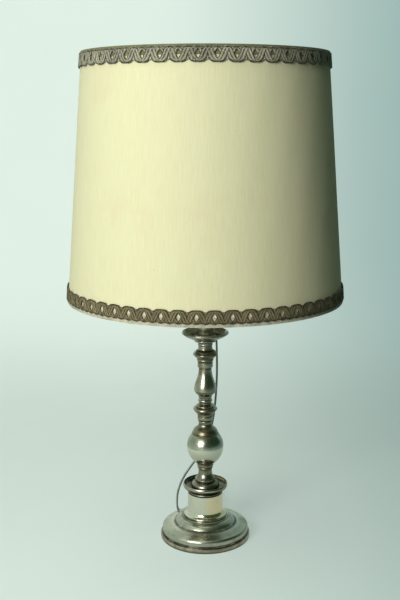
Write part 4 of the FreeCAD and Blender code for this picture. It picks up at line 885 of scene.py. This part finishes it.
class LAMP_OT_stage(bpy.types.Operator):
    """Lay the pale paper and set the studio light"""

    bl_idname = "lamp.stage"
    bl_label = "Stage"

    def execute(self, context):
        own = settings().stage
        self.sweep(own)
        self.lights(own)
        self.world(own)
        context.scene.view_settings.view_transform = "Standard"
        return {"FINISHED"}

    def sweep(self, own):
        """Paper whose profile is a line, then a quarter circle, then an upright line."""
        front, crease, round_, top, half = -4.0, 1.1, 0.7, 3.6, 4.0
        flat = np.stack([np.linspace(front, crease, 40), np.zeros(40)], axis=1)
        bend = np.linspace(0, np.pi / 2, 24)[1:]
        curve = np.stack([crease + round_ * np.sin(bend), round_ - round_ * np.cos(bend)], axis=1)
        wall = np.stack([np.full(20, crease + round_), np.linspace(round_ + 0.05, top, 20)], axis=1)
        profile = np.concatenate([flat, curve, wall])
        x = np.linspace(-half, half, 41)
        points = np.empty((len(profile), len(x), 3))
        points[..., 0] = x[None, :]
        points[..., 1:] = profile[:, None, :]
        mesh = weave_mesh("paper", points[:, ::-1])
        finish = Finish("Pale paper")
        place_ = finish.coordinates()
        fibres = finish.between(finish.noise(place_, 5.0, 4.0), 0.3, 0.7, 0.0, 0.05)
        axes = finish.node("ShaderNodeSeparateXYZ", {"Vector": place_}).outputs
        # Painted shade: the paper's colour darkens toward the right.
        pale = finish.mix(finish.between(axes["X"], -0.25, 0.80), own.paper, own.shaded_paper)
        tint = finish.mix(fibres, pale, [c * 0.7 for c in own.paper])
        matte = finish.mix(1.0, tint, [own.matte] * 3, "MULTIPLY")
        glow = finish.between(axes["Y"], 0.35, 1.50, own.glow_floor, own.glow_wall)
        glow = finish.maths("MULTIPLY", glow, seen_directly(finish.tree))
        finish.put(base_color=matte, roughness=0.9, specular_ior_level=0.2)
        mesh.materials.append(finish.put(emission_color=tint, emission_strength=glow))
        paper = bpy.data.objects.new("paper", mesh)
        bpy.context.scene.collection.objects.link(paper)

    def lights(self, own):
        """A large soft light from the left and one overhead."""
        white = (1, 1, 1)
        for name, power, tint, size, place_, aim in (
            ("Left light", own.key, white, (1.0, 1.1), (-1.02, -1.73, 1.00), (0, 0, 0.50)),
            ("Top light", own.top, own.fill, (1.8, 1.8), (-0.45, -0.35, 2.40), (0, 0, 0)),
        ):
            data = bpy.data.lights.new(name, "AREA")
            data.shape = "RECTANGLE"
            data.size, data.size_y = size
            data.energy = power
            data.color = tint
            light = bpy.data.objects.new(name, data)
            to = np.array(aim) - np.array(place_)
            light.location = place_
            light.rotation_euler = (
                math.atan2(math.hypot(to[0], to[1]), -to[2]), 0, math.atan2(to[1], to[0]) - math.pi / 2
            )
            bpy.context.scene.collection.objects.link(light)

    def world(self, own):
        """Pale to the left and behind, dim green to the right and in front."""
        world = bpy.data.worlds.new("Studio")
        bpy.context.scene.world = world
        world.use_nodes = True
        nodes, links = world.node_tree.nodes, world.node_tree.links
        back = nodes["Background"]
        way = nodes.new("ShaderNodeTexCoord")
        lean = nodes.new("ShaderNodeVectorMath")
        lean.operation = "DOT_PRODUCT"
        lit_way, dusk_up_to, sky_from = (-0.80, 0.55, 0.25), -0.35, 0.75
        lean.inputs[1].default_value = lit_way
        spread = nodes.new("ShaderNodeMapRange")
        spread.interpolation_type = "SMOOTHSTEP"
        spread.inputs["From Min"].default_value = dusk_up_to
        spread.inputs["From Max"].default_value = sky_from
        mix = nodes.new("ShaderNodeMix")
        mix.data_type = "RGBA"
        mix.inputs[6].default_value = (*own.dusk, 1)
        mix.inputs[7].default_value = (*own.sky, 1)
        links.new(way.outputs["Generated"], lean.inputs[0])
        links.new(lean.outputs["Value"], spread.inputs["Value"])
        links.new(spread.outputs["Result"], mix.inputs["Factor"])
        links.new(mix.outputs[2], back.inputs["Color"])
        level = nodes.new("ShaderNodeMapRange")
        level.inputs["To Min"].default_value = own.ambient
        level.inputs["To Max"].default_value = own.reflected
        links.new(seen_directly(world.node_tree), level.inputs["Value"])
        links.new(level.outputs["Result"], back.inputs["Strength"])


class LAMP_PT_pieces(bpy.types.Panel):
    """Buttons that make each group of the lamp's pieces"""

    bl_label = "Candlestick lamp"
    bl_idname = "LAMP_PT_pieces"
    bl_space_type = "VIEW_3D"
    bl_region_type = "UI"
    bl_category = "Lamp"

    def draw(self, context):
        for operator in OPERATORS:
            self.layout.operator(operator.bl_idname)


GROUPS = (ViewSettings, FlexSettings, SilverSettings, ShadeSettings, StageSettings, LampSettings)
OPERATORS = (
    LAMP_OT_camera, LAMP_OT_flex, LAMP_OT_candlestick, LAMP_OT_inside, LAMP_OT_bulb, LAMP_OT_shade,
    LAMP_OT_braids, LAMP_OT_plug, LAMP_OT_stage,
)


def register():
    for kind in (*GROUPS, *OPERATORS, LAMP_PT_pieces):
        bpy.utils.register_class(kind)
    bpy.types.Scene.lamp = bpy.props.PointerProperty(type=LampSettings)


def unregister():
    del bpy.types.Scene.lamp
    for kind in reversed((*GROUPS, *OPERATORS, LAMP_PT_pieces)):
        bpy.utils.unregister_class(kind)


def main():
    register()
    bpy.ops.lamp.camera()
    bpy.ops.lamp.flex()
    bpy.ops.lamp.candlestick()
    bpy.ops.lamp.inside()
    bpy.ops.lamp.bulb()
    bpy.ops.lamp.shade()
    bpy.ops.lamp.braids()
    bpy.ops.lamp.plug()
    bpy.ops.lamp.stage()


if __name__ == "__main__":
    main()
